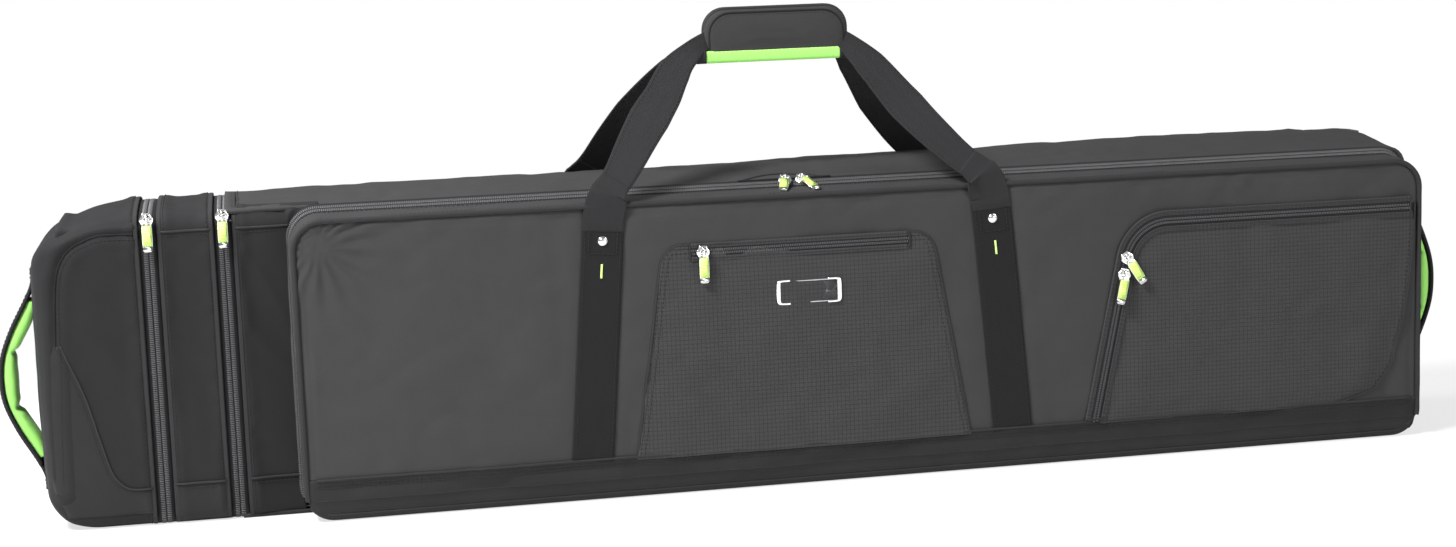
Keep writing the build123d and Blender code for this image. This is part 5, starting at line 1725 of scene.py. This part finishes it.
def build_garage():
    """Lens-shaped flap with a slit in front of it, behind the parked main sliders."""
    low, high = box_mm("zip_garage")
    middle, half = (low[0] + high[0]) / 2, (high[0] - low[0]) / 2
    xs = spaced(low[0], high[0], 3.0)
    share = np.linspace(0, 1, 14)
    reach = (high[1] - low[1]) * (1 - ((xs - middle) / half) ** 2) * 0.985 + 0.4
    y = low[1] + reach[:, None] * share[None, :]
    x = np.repeat(xs[:, None], len(share), axis=1)
    z = shell_top(x, y) + 0.9 + 1.4 * np.sin(math.pi * share)[None, :] * (reach / reach.max())[:, None]
    flap = sheet("garage_flap", np.stack([x, y, z], axis=2), 1.4, SHELL, "shell",
                 inward=(20, 0, 0))
    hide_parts("zip_garage")
    edge = np.stack([x[:, -1], y[:, -1], z[:, -1] + 0.3], axis=1)
    bar("garage_piping", edge, (0, 0, 1), circle_profile(1.4, 8), PIPING, "shell")
    stitch_row("garage_stitches", edge + [0, -4.5, 0.6], (0, 0, 1), THREAD, "shell")
    front = np.stack([x[:, 0], y[:, 0] + 0.6, z[:, 0] + 0.3], axis=1)
    bar("garage_lip", front, (0, 0, 1), circle_profile(1.5, 8), TAPE, "shell")


# ---- carry handles ---------------------------------------------------------------------------
GRIP_HALF = (GRIP_HIGH[0] - GRIP_LOW[0]) / 2
LEG_HALF_SPAN = STRAP_REACH - STRAP_SPLAY
LEG_START, LEG_FOOT = 16.0, 30.0


def handle_frame(side):
    """Pivot, grip point, in-plane upward direction and outward normal of a carry handle."""
    name = "front_handle_fall" if side < 0 else "rear_handle_fall"
    pivot = joint_mm(name)
    strap_y = (GRIP_HIGH[1] + 1.5) if side < 0 else (REAR_PAD_LOW[1] - 1.5)
    top = np.array([0.0, strap_y, GRIP_MID[2]])
    along = top - pivot
    reach = np.linalg.norm(along)
    v = along / reach
    normal = np.cross([1.0, 0, 0], v) * side * -1.0
    return pivot, reach, v, unit(normal)


def leg_width(rise, reach):
    """Width factor of a handle's leg at a distance up its loop: gathered at the foot and the grip."""
    stops = [0.0, 6.0, 24.0, 60.0, reach * 0.5, reach * 0.78, reach * 0.95, reach * 1.1]
    return np.interp(rise, stops, [1.0, 0.93, 0.76, 0.88, 1.0, 0.82, 0.44, 0.44])


def handle_plan(reach, hand):
    """Half of a loop in its own plane, from the foot at the bag to the middle of the grip."""
    foot = LEG_HALF_SPAN
    curve = catmull([
        (foot + 2.0, -14.0), (foot - 3.0, 2.0), (foot - 13.0, reach * 0.08), (foot - 34.0, reach * 0.2),
        (foot - 74.0, reach * 0.48), (foot - 109.0, reach * 0.72), (GRIP_HALF + 12.0, reach * 0.875),
        (GRIP_HALF - 14.0, reach * 0.975), (GRIP_HALF - 44.0, reach), (0.0, reach),
    ], 4.0)
    bow = -9.0 * hand * np.sin(math.pi * np.clip(curve[:, 1] / reach, 0, 1))
    return curve + np.stack([bow, np.zeros(len(bow))], axis=1)


def build_handle(side, body, face, node):
    """Webbing loop of a carry handle and the flexible feet that join it to the bag."""
    pivot, reach, v, normal = handle_frame(side)

    def in_space(plan):
        return np.stack([GRIP_MID[0] + plan[:, 0], pivot[1] + v[1] * plan[:, 1],
                         pivot[2] + v[2] * plan[:, 1]], axis=1)

    halves = {hand: handle_plan(reach, hand) * [hand, 1] for hand in (-1, 1)}
    if side < 0:
        halves[1][:, 0] += FRONT_SHIFT - 3.0 * smooth(halves[1][:, 1] / 90.0)
        high = smooth((halves[-1][:, 1] / reach - 0.6) / 0.25)
        halves[-1][:, 0] -= 10.0 * high * smooth((np.abs(halves[-1][:, 0]) - GRIP_HALF + 40.0) / 40.0)
    plan = np.vstack([halves[-1], halves[1][::-1][1:]])
    plan = plan[plan[:, 1] >= LEG_START]
    path = in_space(plan)
    level = smooth((GRIP_HALF + 30.0 - np.abs(plan[:, 0])) / 50.0)[:, None]
    up = unit(normal * (1 - level) + np.array([0.0, side * 1.0, 0.0]) * level)
    curl = 1.2 * value_noise(plan[:, 0] / 70.0, plan[:, 1] / 60.0, 200.0 + side)
    path = path + up * (curl * smooth((plan[:, 1] - 30.0) / 60.0))[:, None] * (1 - level)
    narrow = leg_width(plan[:, 1], reach)
    scale = np.stack([narrow, 1.0 + 1.2 * (1.0 - narrow)], axis=1)
    strap = bar(f"{body}_strap", path, up, WEB_PROFILE, WEBBING, body, scale)
    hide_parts(node)
    width = path_frames(path, up)[1]
    for edge in (-21.0, 21.0):
        for out in (-1, 1):
            line = path + width * edge * scale[:, 0:1] + up * (out * WEB_T / 2 * scale[:, 1:2])
            outer = np.abs(plan[:, 0]) > GRIP_HALF + 4.0
            for part, mask in (("left", plan[:, 0] < 0), ("right", plan[:, 0] > 0)):
                pick = outer & mask
                tag = f"{body}_stitches_{part}_{'p' if edge > 0 else 'n'}{'p' if out > 0 else 'n'}"
                stitch_row(tag, line[pick], up[pick] * out, THREAD, body)
    for hand, word in ((-1, "left"), (1, "right")):
        low_z = spaced(STRAP_TOP_Z - 24.0, STRAP_TOP_Z - 8.0, 4.0)
        low_x = strap_x(low_z, hand, side < 0)
        low = np.stack([low_x, face(low_x, low_z) + side * (WEB_T / 2 + 0.2), low_z], axis=1)
        foot = halves[hand][(halves[hand][:, 1] >= 6.0) & (halves[hand][:, 1] <= LEG_FOOT)]
        line = catmull(np.vstack([low, in_space(foot)]), 2.5)
        turn = smooth((line[:, 2] - (STRAP_TOP_Z - 6.0)) / 30.0)[:, None]
        narrow = leg_width((line[:, 2] - pivot[2]) / v[2], reach)
        piece = bar(f"{body}_foot_{word}", line,
                    unit(np.array([0.0, side, 0.0]) * (1 - turn) + normal * turn),
                    flat_profile(WEB_W, WEB_T + 0.4, 1.2, 10), WEBBING, None,
                    np.stack([narrow, 1.0 + 1.2 * (1.0 - narrow)], axis=1))
        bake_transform(piece)


PAD_X, PAD_HALF = GRIP_MID[0] + 2.5, GRIP_HALF + 2.5


def pad_outline(grow=0.0):
    """Outline of the wrap about the grip's middle, its top corners rounder than its lower ones."""
    w = PAD_HALF + grow
    top = (GRIP_HIGH[2] - GRIP_LOW[2]) / 2 + grow
    r, q = 26.0, max(7.0 + grow, 1.5)
    return np.vstack([
        arc_points(w - r, top - r, r, 0, 90, 10), arc_points(-w + r, top - r, r, 90, 180, 10),
        arc_points(-w + q, -top + q, q, 180, 270, 6), arc_points(w - q, -top + q, q, 270, 360, 6),
    ])


def pad_ring(outline, depth):
    """An outline about the grip's middle as a 3-D ring at a depth."""
    return at_depth(outline + [PAD_X, GRIP_MID[2]], depth)


def pad_line(grow, depth):
    """Closed path at a depth that follows the wrap's outline, grown or shrunk."""
    loop = pad_outline(grow)
    return pad_ring(resample(np.vstack([loop, loop[:1]]), 3.0), depth)


def swollen(piece, pressure, cap_mm, seed_frames=14):
    """Cloth-simulated swelling of a closed pad, limited so that it stays within cap_mm of its start."""
    scene = bpy.context.scene
    before = np.zeros(len(piece.data.vertices) * 3)
    piece.data.vertices.foreach_get("co", before)
    before = before.reshape(-1, 3)
    modifier = piece.modifiers.new("Swell", "CLOTH")
    settings = modifier.settings
    settings.quality = 4
    settings.mass = 0.15
    settings.tension_stiffness = 12
    settings.compression_stiffness = 12
    settings.bending_stiffness = 0.4
    settings.use_pressure = True
    settings.uniform_pressure_force = pressure
    settings.effector_weights.gravity = 0.0
    settings.shrink_min = -0.06
    modifier.point_cache.frame_start = 1
    modifier.point_cache.frame_end = seed_frames
    for step in range(1, seed_frames + 1):
        scene.frame_set(step)
    shaped = piece.evaluated_get(bpy.context.evaluated_depsgraph_get()).to_mesh()
    after = np.zeros(len(shaped.vertices) * 3)
    shaped.vertices.foreach_get("co", after)
    after = after.reshape(-1, 3)
    piece.modifiers.remove(modifier)
    scene.frame_set(1)
    move = after - before
    length = np.linalg.norm(move, axis=1, keepdims=True)
    limit = cap_mm * MM
    move = move * np.minimum(1.0, limit * np.tanh(length / limit) / np.maximum(length, 1e-9))
    piece.data.vertices.foreach_set("co", (before + move).ravel())
    piece.data.update()


def pad_solid(name, y_seam, side, depth, body, node):
    """Half of the padded wrap: a cushion with flat quilted middle and a rolled edge."""
    steps = [(14.0, 0.86), (9.0, 0.78), (5.0, 0.62), (2.4, 0.42), (0.8, 0.2), (0.0, 0.0)]
    upper = [(inset, rise) for inset, rise in steps[::-1][1:]]
    levels = [(inset, -rise * 0.35) for inset, rise in steps] + upper
    rings = []
    for inset, rise in levels:
        rings.append(pad_ring(pad_outline(-inset), y_seam + side * depth * rise))
    last = levels[-1][0]
    for share in np.linspace(0.85, 0.05, 12):
        ring = pad_outline(-last) * share
        dents = 0.9 * value_noise(ring[:, 0] / 13.0, ring[:, 1] / 10.0, 215.0)
        dents = dents * smooth((1.0 - share) / 0.15)
        lift = depth * (0.86 + 0.14 * (1 - share**2)) + dents
        rings.append(pad_ring(ring, y_seam + side * lift))
    for share in np.linspace(0.85, 0.05, 8):
        rings.insert(0, pad_ring(pad_outline(-last) * share, y_seam - side * depth * 0.32))
    piece = joined(name, [capped(np.array(rings))], GRIP, body)
    planar_uv(piece.data, 0, 2)
    swollen(piece, 3.0, 3.0)
    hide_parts(node)
    rim = pad_line(0.6, y_seam)
    bar(name + "_piping", rim, (0, side, 0), circle_profile(2.3, 10), PIPING, body)
    groove = pad_line(-4.2, y_seam + side * (depth * 0.6 + 0.3))
    bar(name + "_welt", groove, (0, side, 0), circle_profile(1.3, 8), TAPE, body)
    row = pad_line(-7.5, y_seam + side * depth * 0.745)
    stitch_row(name + "_stitches", row, (0, side, 0), THREAD, body)


def build_grip():
    """Padded wrap: front and rear halves, with a lime strip and black tabs along the front's foot."""
    pad_solid("grip_front", GRIP_HIGH[1] - 0.5, -1, GRIP_HIGH[1] - GRIP_LOW[1] + 3.0, "grip_flap",
              "grip_front_pad")
    pad_solid("grip_rear", REAR_PAD_LOW[1] + 0.5, 1, REAR_PAD_HIGH[1] - REAR_PAD_LOW[1] + 3.0,
              "rear_handle", "grip_rear_pad")
    foot = GRIP_LOW[2]
    section = [(-5.0, 12.4), (-7.8, 10.4), (-8.6, 5.0), (-8.2, -0.2), (-5.5, -2.6), (0.0, -3.0),
               (4.0, -2.0)]
    curve = catmull(np.array(section), 1.2)
    y_mid = GRIP_HIGH[1] - 0.5
    strip_left, strip_right = GRIP_MID[0] - GRIP_HALF - 2.5, GRIP_MID[0] + GRIP_HALF - 3.0
    xs = spaced(strip_left, strip_right, 2.5) - GRIP_MID[0]
    wave_y = 0.35 * value_noise(xs[:, None] / 9.0, curve[None, :, 1] / 7.0, 210.0)
    points = np.stack([
        np.repeat((GRIP_MID[0] + xs)[:, None], len(curve), axis=1),
        y_mid + curve[None, :, 0] - 1.4 + wave_y,
        np.repeat((foot + curve[:, 1])[None, :], len(xs), axis=0),
    ], axis=2)
    sheet("grip_lime_strip", points, 1.5, LIME, "grip_flap",
          inward=(GRIP_MID[0], 0, foot + 20))
    for hand, word in ((-1, "left"), (1, "right")):
        outer = -GRIP_HALF - 12.0 if hand < 0 else GRIP_HALF + 5.5
        inner = -GRIP_HALF - 1.0 if hand < 0 else GRIP_HALF - 4.5
        xs = spaced(inner, outer, 2.0)
        points = np.stack([
            np.repeat((GRIP_MID[0] + xs)[:, None], len(curve), axis=1),
            y_mid + np.repeat(curve[None, :, 0], len(xs), axis=0) * 1.06 - 1.9,
            np.repeat((foot + curve[:, 1] * 1.08)[None, :], len(xs), axis=0),
        ], axis=2)
        sheet("grip_tab_" + word, points, 1.8, WEBBING, "grip_flap",
              inward=(GRIP_MID[0], 0, foot + 20))
    xs = spaced(strip_left + 2.0, strip_right - 2.0, 3.0)
    line = np.stack([xs, np.full(len(xs), y_mid - 8.4), np.full(len(xs), foot + 10.8)], axis=1)
    stitch_row("grip_lime_stitches", line, (0, -1, 0), LIME_THREAD, "grip_flap")


def build_end_handle(side, body, base_body, node):
    """Grab handle across an end: black outer webbing over a lime padded inside, with sewn feet."""
    low, high = box_mm(node)
    face_x = RIGHT if side > 0 else CAP_LEFT
    bow = abs((high[0] if side > 0 else low[0]) - face_x) - 6.0
    mid_y, mid_z = (low[1] + high[1]) / 2, (low[2] + high[2]) / 2
    half = 118.0 if side > 0 else 110.0
    curve = [
        (3.6, -half - 24.0), (3.8, -half - 8.0), (bow * 0.26, -half + 13.0), (bow * 0.66, -half * 0.56),
        (bow * 0.93, -half * 0.26), (bow, 0.0),
    ]
    curve += [(out, -along) for out, along in curve[-2::-1]]
    line = catmull(np.array(curve), 3.0)
    out = np.stack([face_x + side * line[:, 0], np.full(len(line), mid_y), mid_z + line[:, 1]], axis=1)
    tangent = unit(np.gradient(out, axis=0))
    normal = unit(np.cross(tangent, [0.0, 1.0, 0.0]))
    normal = normal * np.sign(normal[len(normal) // 2][0] * side)
    middle = np.abs(line[:, 1]) < half - 4.0
    strap_mid = out[middle]
    strap = bar(body + "_webbing", strap_mid, normal[middle], flat_profile(40.0, 4.6, 1.6, 8), WEBBING,
                body)
    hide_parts(node)
    inner = np.abs(line[:, 1]) < half - 12.0
    rings = []
    width = path_frames(out[inner], normal[inner])[1]
    for centre, up, across, along in zip(out[inner], normal[inner], width, line[inner, 1]):
        reach = along / half
        ends = math.sqrt(max(0.0, 1.0 - abs(reach) ** 5))
        pinch = math.exp(-(((abs(reach) - 0.34) / 0.045) ** 2))
        thick = (6.4 * ends + 1.2) * (1.0 - 0.34 * pinch) * (1.0 + 0.10 * math.cos(reach * 9.0))
        profile = []
        for a in np.linspace(0, 2 * math.pi, 25)[:-1]:
            c, s = math.cos(a), math.sin(a)
            wide = 19.0 * (0.80 + 0.20 * ends) * (1.0 - 0.08 * pinch) * np.sign(c) * abs(c) ** 0.55
            deep = thick * np.sign(s) * abs(s) ** 0.8
            profile.append(centre - up * (thick + 1.8) + across * wide + up * deep)
        rings.append(profile)
    joined(body + "_lime_pad", [capped(np.array(rings))], LIME, body)
    across = path_frames(strap_mid, normal[middle])[1]
    for edge in (-16.5, 16.5):
        row = strap_mid + across * edge + normal[middle] * 2.3
        stitch_row(f"{body}_stitches_{'p' if edge > 0 else 'n'}", row, normal[middle], THREAD, body)
    u, v, w = np.array([0, 1.0, 0]), np.array([0, 0, 1.0]), np.array([side * 1.0, 0, 0])
    for hand, word in ((-1, "low"), (1, "high")):
        part = line[:, 1] * hand > half - 14.0
        points = out[part]
        foot = bar(f"{body}_foot_{word}", points, normal[part], flat_profile(39.0, 4.4, 1.4, 8), WEBBING,
                   None)
        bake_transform(foot)
        at = np.array([face_x + side * 6.0, mid_y, mid_z + hand * (half + 13.0)])
        box_stitch(f"{body}_foot_box_{word}", at, u, v, w, 15.0, 5.0, base_body)
        patch = rounded_outline(50.0, 26.0, 5.0)
        if side > 0:
            patch = patch[::-1]
        seat = np.array([face_x + side * 2.0, mid_y, mid_z + hand * (half + 11.0)])
        solid = layered(patch, [(0.0, -4.0), (0.0, 1.3), (0.8, 1.8)], seat, u, v, w)
        joined(f"{body}_patch_{word}", [solid], BASE, base_body)


# ---- wheels and hard parts -------------------------------------------------------------------
def dress(node, material, bevel=0.0, segments=3):
    """Show a hard CAD node with its material and softened edges."""
    part = frame["nodes"][node]
    part.data.materials.clear()
    part.data.materials.append(material)
    if bevel > 0:
        softened = part.modifiers.new("Soft edges", "BEVEL")
        softened.width = bevel * MM
        softened.segments = segments
        softened.limit_method = "ANGLE"
        softened.angle_limit = math.radians(35)
        softened.harden_normals = True
    for face in part.data.polygons:
        face.use_smooth = True
    return part


def revolve(name, profile, centre, material, body, sides=72, shape=None):
    """Closed solid of revolution about an upright axis; shape(angle, r, z) may reshape it."""
    rings = []
    for angle in np.linspace(0, 2 * math.pi, sides, endpoint=False):
        ring = []
        for r, z in profile:
            if shape is not None:
                r, z = shape(angle, r, z)
            ring.append([centre[0] + r * math.cos(angle), centre[1] + r * math.sin(angle), centre[2] + z])
        rings.append(ring)
    grid = np.array(rings)
    nu, nv, _ = grid.shape
    faces = []
    for i in range(nu):
        for j in range(nv):
            k, m = (i + 1) % nu, (j + 1) % nv
            faces.append((i * nv + j, i * nv + m, k * nv + m, k * nv + j))
    uv = np.stack([np.repeat(np.arange(nu), nv) * 3.0, np.tile(np.arange(nv), nu) * 3.0], axis=1)
    return joined(name, [(grid.reshape(-1, 3), faces, uv)], material, body)


def build_wheel(word):
    """Tyre with a rounded grooved tread, spoked hub, and the CAD bearings."""
    body = word + "_wheel"
    low, high = box_mm("tyre_" + word)
    centre = (low + high) / 2
    half = (high[2] - low[2]) / 2
    outer = (high[0] - low[0]) / 2
    hub_low, hub_high = box_mm("hub_" + word)
    hub_r = (hub_high[0] - hub_low[0]) / 2
    crown = []
    for a in np.linspace(-90, 90, 19):
        s, c = math.sin(math.radians(a)), math.cos(math.radians(a))
        groove = 0.9 * (math.exp(-((a - 24) / 5.0) ** 2) + math.exp(-((a + 24) / 5.0) ** 2))
        crown.append((outer - 5.5 + 5.5 * c**0.8 - groove, half * np.sign(s) * abs(s) ** 0.75))
    inner, shoulder = hub_r + 0.05, hub_r + 2.5
    profile = [(inner, -half), (shoulder, -half)] + crown + [(shoulder, half), (inner, half)]
    tyre = revolve("tyre_tread_" + word, profile, centre, TYRE, body)
    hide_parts("tyre_" + word)
    bore, seat = 6.2, 11.0
    deep = 5.5

    def spokes(angle, r, z):
        """Sink the web of the hub between its five spokes."""
        if 12.5 < r < hub_r - 2.0:
            between = smooth((abs(math.sin(angle * 2.5)) - 0.35) / 0.25)
            z = z * (1 - float(between) * deep / half)
        return r, z

    face = [(seat + 0.1, half), (12.4, half), (12.6, half - 0.1), (14.5, half - 0.2), (17.0, half - 0.2),
            (20.0, half - 0.2), (hub_r - 2.2, half - 0.2), (hub_r - 1.9, half), (hub_r, half - 0.1)]
    under = [(r, -z) for r, z in face[::-1]]
    inner = [(seat + 0.1, -half + 7.1), (bore, -half + 7.1), (bore, half - 7.1), (seat + 0.1, half - 7.1)]
    hub = revolve("hub_spoked_" + word, face + under + inner, centre, HUB, body, 120, spokes)
    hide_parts("hub_" + word)
    dress("bearings_" + word, STEEL, 0.5)


def build_hard_parts():
    for word in ("upper", "lower"):
        dress("wheel_housing_" + word, HOUSING, 2.2, 4)
        build_wheel(word)
    dress("axles", STEEL, 0.8)
    dress("stiffener_board", BOARD, 1.5)
    dress("buckle_sockets", BUCKLE, 0.7)
    dress("buckle_insert_left", BUCKLE, 0.7)
    dress("buckle_insert_right", BUCKLE, 0.7)


def build_tie_straps():
    """Two tie-down straps inside, each in two lengths, lightly rippled."""
    node = frame["nodes"]["tie_straps"]
    co = np.array([v.co[:] for v in node.data.vertices]) / MM
    low_all, high_all = co.min(axis=0), co.max(axis=0)
    sockets = box_mm("buckle_sockets")
    edges = (sockets[0][2], sockets[1][2] + 0.4)
    first = None
    for x, word in ((low_all[0] + 12.5, "left"), (high_all[0] - 12.5, "right")):
        for z0, z1, level in ((low_all[2], edges[0], "low"), (edges[1], high_all[2], "high")):
            zs = spaced(z0 - 1.0, z1 + 1.0, 5.0)
            ripple = 0.8 * (1 - np.cos((zs - z0) / 17.0)) * smooth((zs - z0) / 30.0)
            y = (low_all[1] + high_all[1]) / 2 - ripple * smooth((z1 - zs) / 30.0)
            path = np.stack([np.full(len(zs), x), y, zs], axis=1)
            section = flat_profile(25.0, 1.8, 0.7, 6)
            made = bar(f"tie_strap_{word}_{level}", path, (0, -1, 0), section, WEBBING, "shell")
            first = first or made
    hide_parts("tie_straps")


# ---- build everything ------------------------------------------------------------------------
build_lid_face()
build_fold()
build_lid_edge()
build_main_zip()
build_straps()
build_centre_pocket()
build_side_pocket()
build_name_plate()
build_sliders()
build_shell_walls()
build_front_lip()
build_back()
build_shell_lining()
build_sections()
build_expansion_zips()
build_gusset_folds()
build_garage()
build_handle(-1, "front_handle", lid_front, "front_handle_webbing")
build_handle(1, "rear_handle", rear_face, "rear_handle_webbing")
build_grip()
build_end_handle(-1, "left_grab", "end_cap", "left_end_handle")
build_end_handle(1, "right_grab", "shell", "right_end_handle")
build_hard_parts()
build_tie_straps()


# ---- floor, light and camera -----------------------------------------------------------------
WORLD_LIGHT = 0.30


def build_stage():
    n = Nodes("floor_white")
    n.shader.inputs["Base Color"].default_value = (0.93, 0.93, 0.93, 1.0)
    n.shader.inputs["Roughness"].default_value = 0.85
    place = n.node("ShaderNodeTexCoord").outputs["Object"]
    oval = n.node("ShaderNodeMapping")
    oval.inputs["Scale"].default_value = (0.62, 1.0, 0.0)
    n.feed(place, oval.inputs["Vector"])
    far = n.node("ShaderNodeVectorMath", operation="LENGTH")
    n.feed(oval.outputs[0], far.inputs[0])
    away = n.maths("MULTIPLY_ADD", far.outputs["Value"], 2.4, -1.75, clamp=True)
    seen = n.node("ShaderNodeLightPath").outputs["Is Camera Ray"]
    white = n.node("ShaderNodeEmission")
    mixed = n.node("ShaderNodeMixShader")
    n.feed(n.maths("MULTIPLY", n.maths("MAXIMUM", away, 0.7), seen), mixed.inputs[0])
    n.feed(n.shader.outputs[0], mixed.inputs[1])
    n.feed(white.outputs[0], mixed.inputs[2])
    n.feed(mixed.outputs[0], n.tree.nodes["Material Output"].inputs["Surface"])
    mesh = bpy.data.meshes.new("floor")
    reach = 30.0
    mesh.from_pydata([(-reach, -reach, -0.0005), (reach, -reach, -0.0005), (reach, reach, -0.0005),
                      (-reach, reach, -0.0005)], [], [(0, 1, 2, 3)])
    mesh.materials.append(n.material)
    floor = bpy.data.objects.new("floor", mesh)
    bpy.context.scene.collection.objects.link(floor)
    world = bpy.data.worlds.new("studio")
    bpy.context.scene.world = world
    world.use_nodes = True
    tree = world.node_tree
    background = tree.nodes["Background"]
    background.inputs[0].default_value = (1.0, 1.0, 1.0, 1.0)
    seen = tree.nodes.new("ShaderNodeLightPath")
    level = tree.nodes.new("ShaderNodeMath")
    level.operation = "MULTIPLY_ADD"
    level.inputs[1].default_value = 1.0 - WORLD_LIGHT
    level.inputs[2].default_value = WORLD_LIGHT
    tree.links.new(seen.outputs["Is Camera Ray"], level.inputs[0])
    tree.links.new(level.outputs[0], background.inputs[1])


def area_light(name, place, target, size, power):
    light = bpy.data.lights.new(name, "AREA")
    light.shape = "RECTANGLE"
    light.size, light.size_y = size
    light.energy = power
    made = bpy.data.objects.new(name, light)
    made.location = place
    made.rotation_euler = (Vector(target) - Vector(place)).to_track_quat("-Z", "Y").to_euler()
    bpy.context.scene.collection.objects.link(made)


def build_camera():
    """Camera as solved for the view: bearing, tilt and roll in degrees."""
    bearing, tilt, roll = math.radians(11.30), math.radians(8.31), math.radians(-1.9125)
    forward = Vector((math.sin(bearing) * math.cos(tilt), math.cos(bearing) * math.cos(tilt),
                      -math.sin(tilt)))
    level = Vector((math.cos(bearing), -math.sin(bearing), 0.0))
    upright = level.cross(forward)
    right = level * math.cos(roll) + upright * math.sin(roll)
    above = upright * math.cos(roll) - level * math.sin(roll)
    data = bpy.data.cameras.new("camera")
    data.sensor_width = 36.0
    data.lens = 57.48
    data.clip_start, data.clip_end = 0.05, 100.0
    camera = bpy.data.objects.new("camera", data)
    turn = Matrix((right, above, -forward)).transposed()
    camera.matrix_world = Matrix.Translation((-0.5916, -2.8308, 0.6709)) @ turn.to_4x4()
    bpy.context.scene.collection.objects.link(camera)
    bpy.context.scene.camera = camera


build_stage()
area_light("key", (-2.1, -1.35, 3.0), (0.1, 0.0, 0.2), (1.0, 0.8), 235)
area_light("fill", (2.8, -3.2, 1.4), (0.2, 0.0, 0.2), (1.8, 1.4), 66)
area_light("top", (-1.7, 0.4, 2.4), (-0.8, 0.0, 0.3), (1.0, 0.8), 60)
build_camera()
view = bpy.context.scene.view_settings
view.view_transform = "Standard"
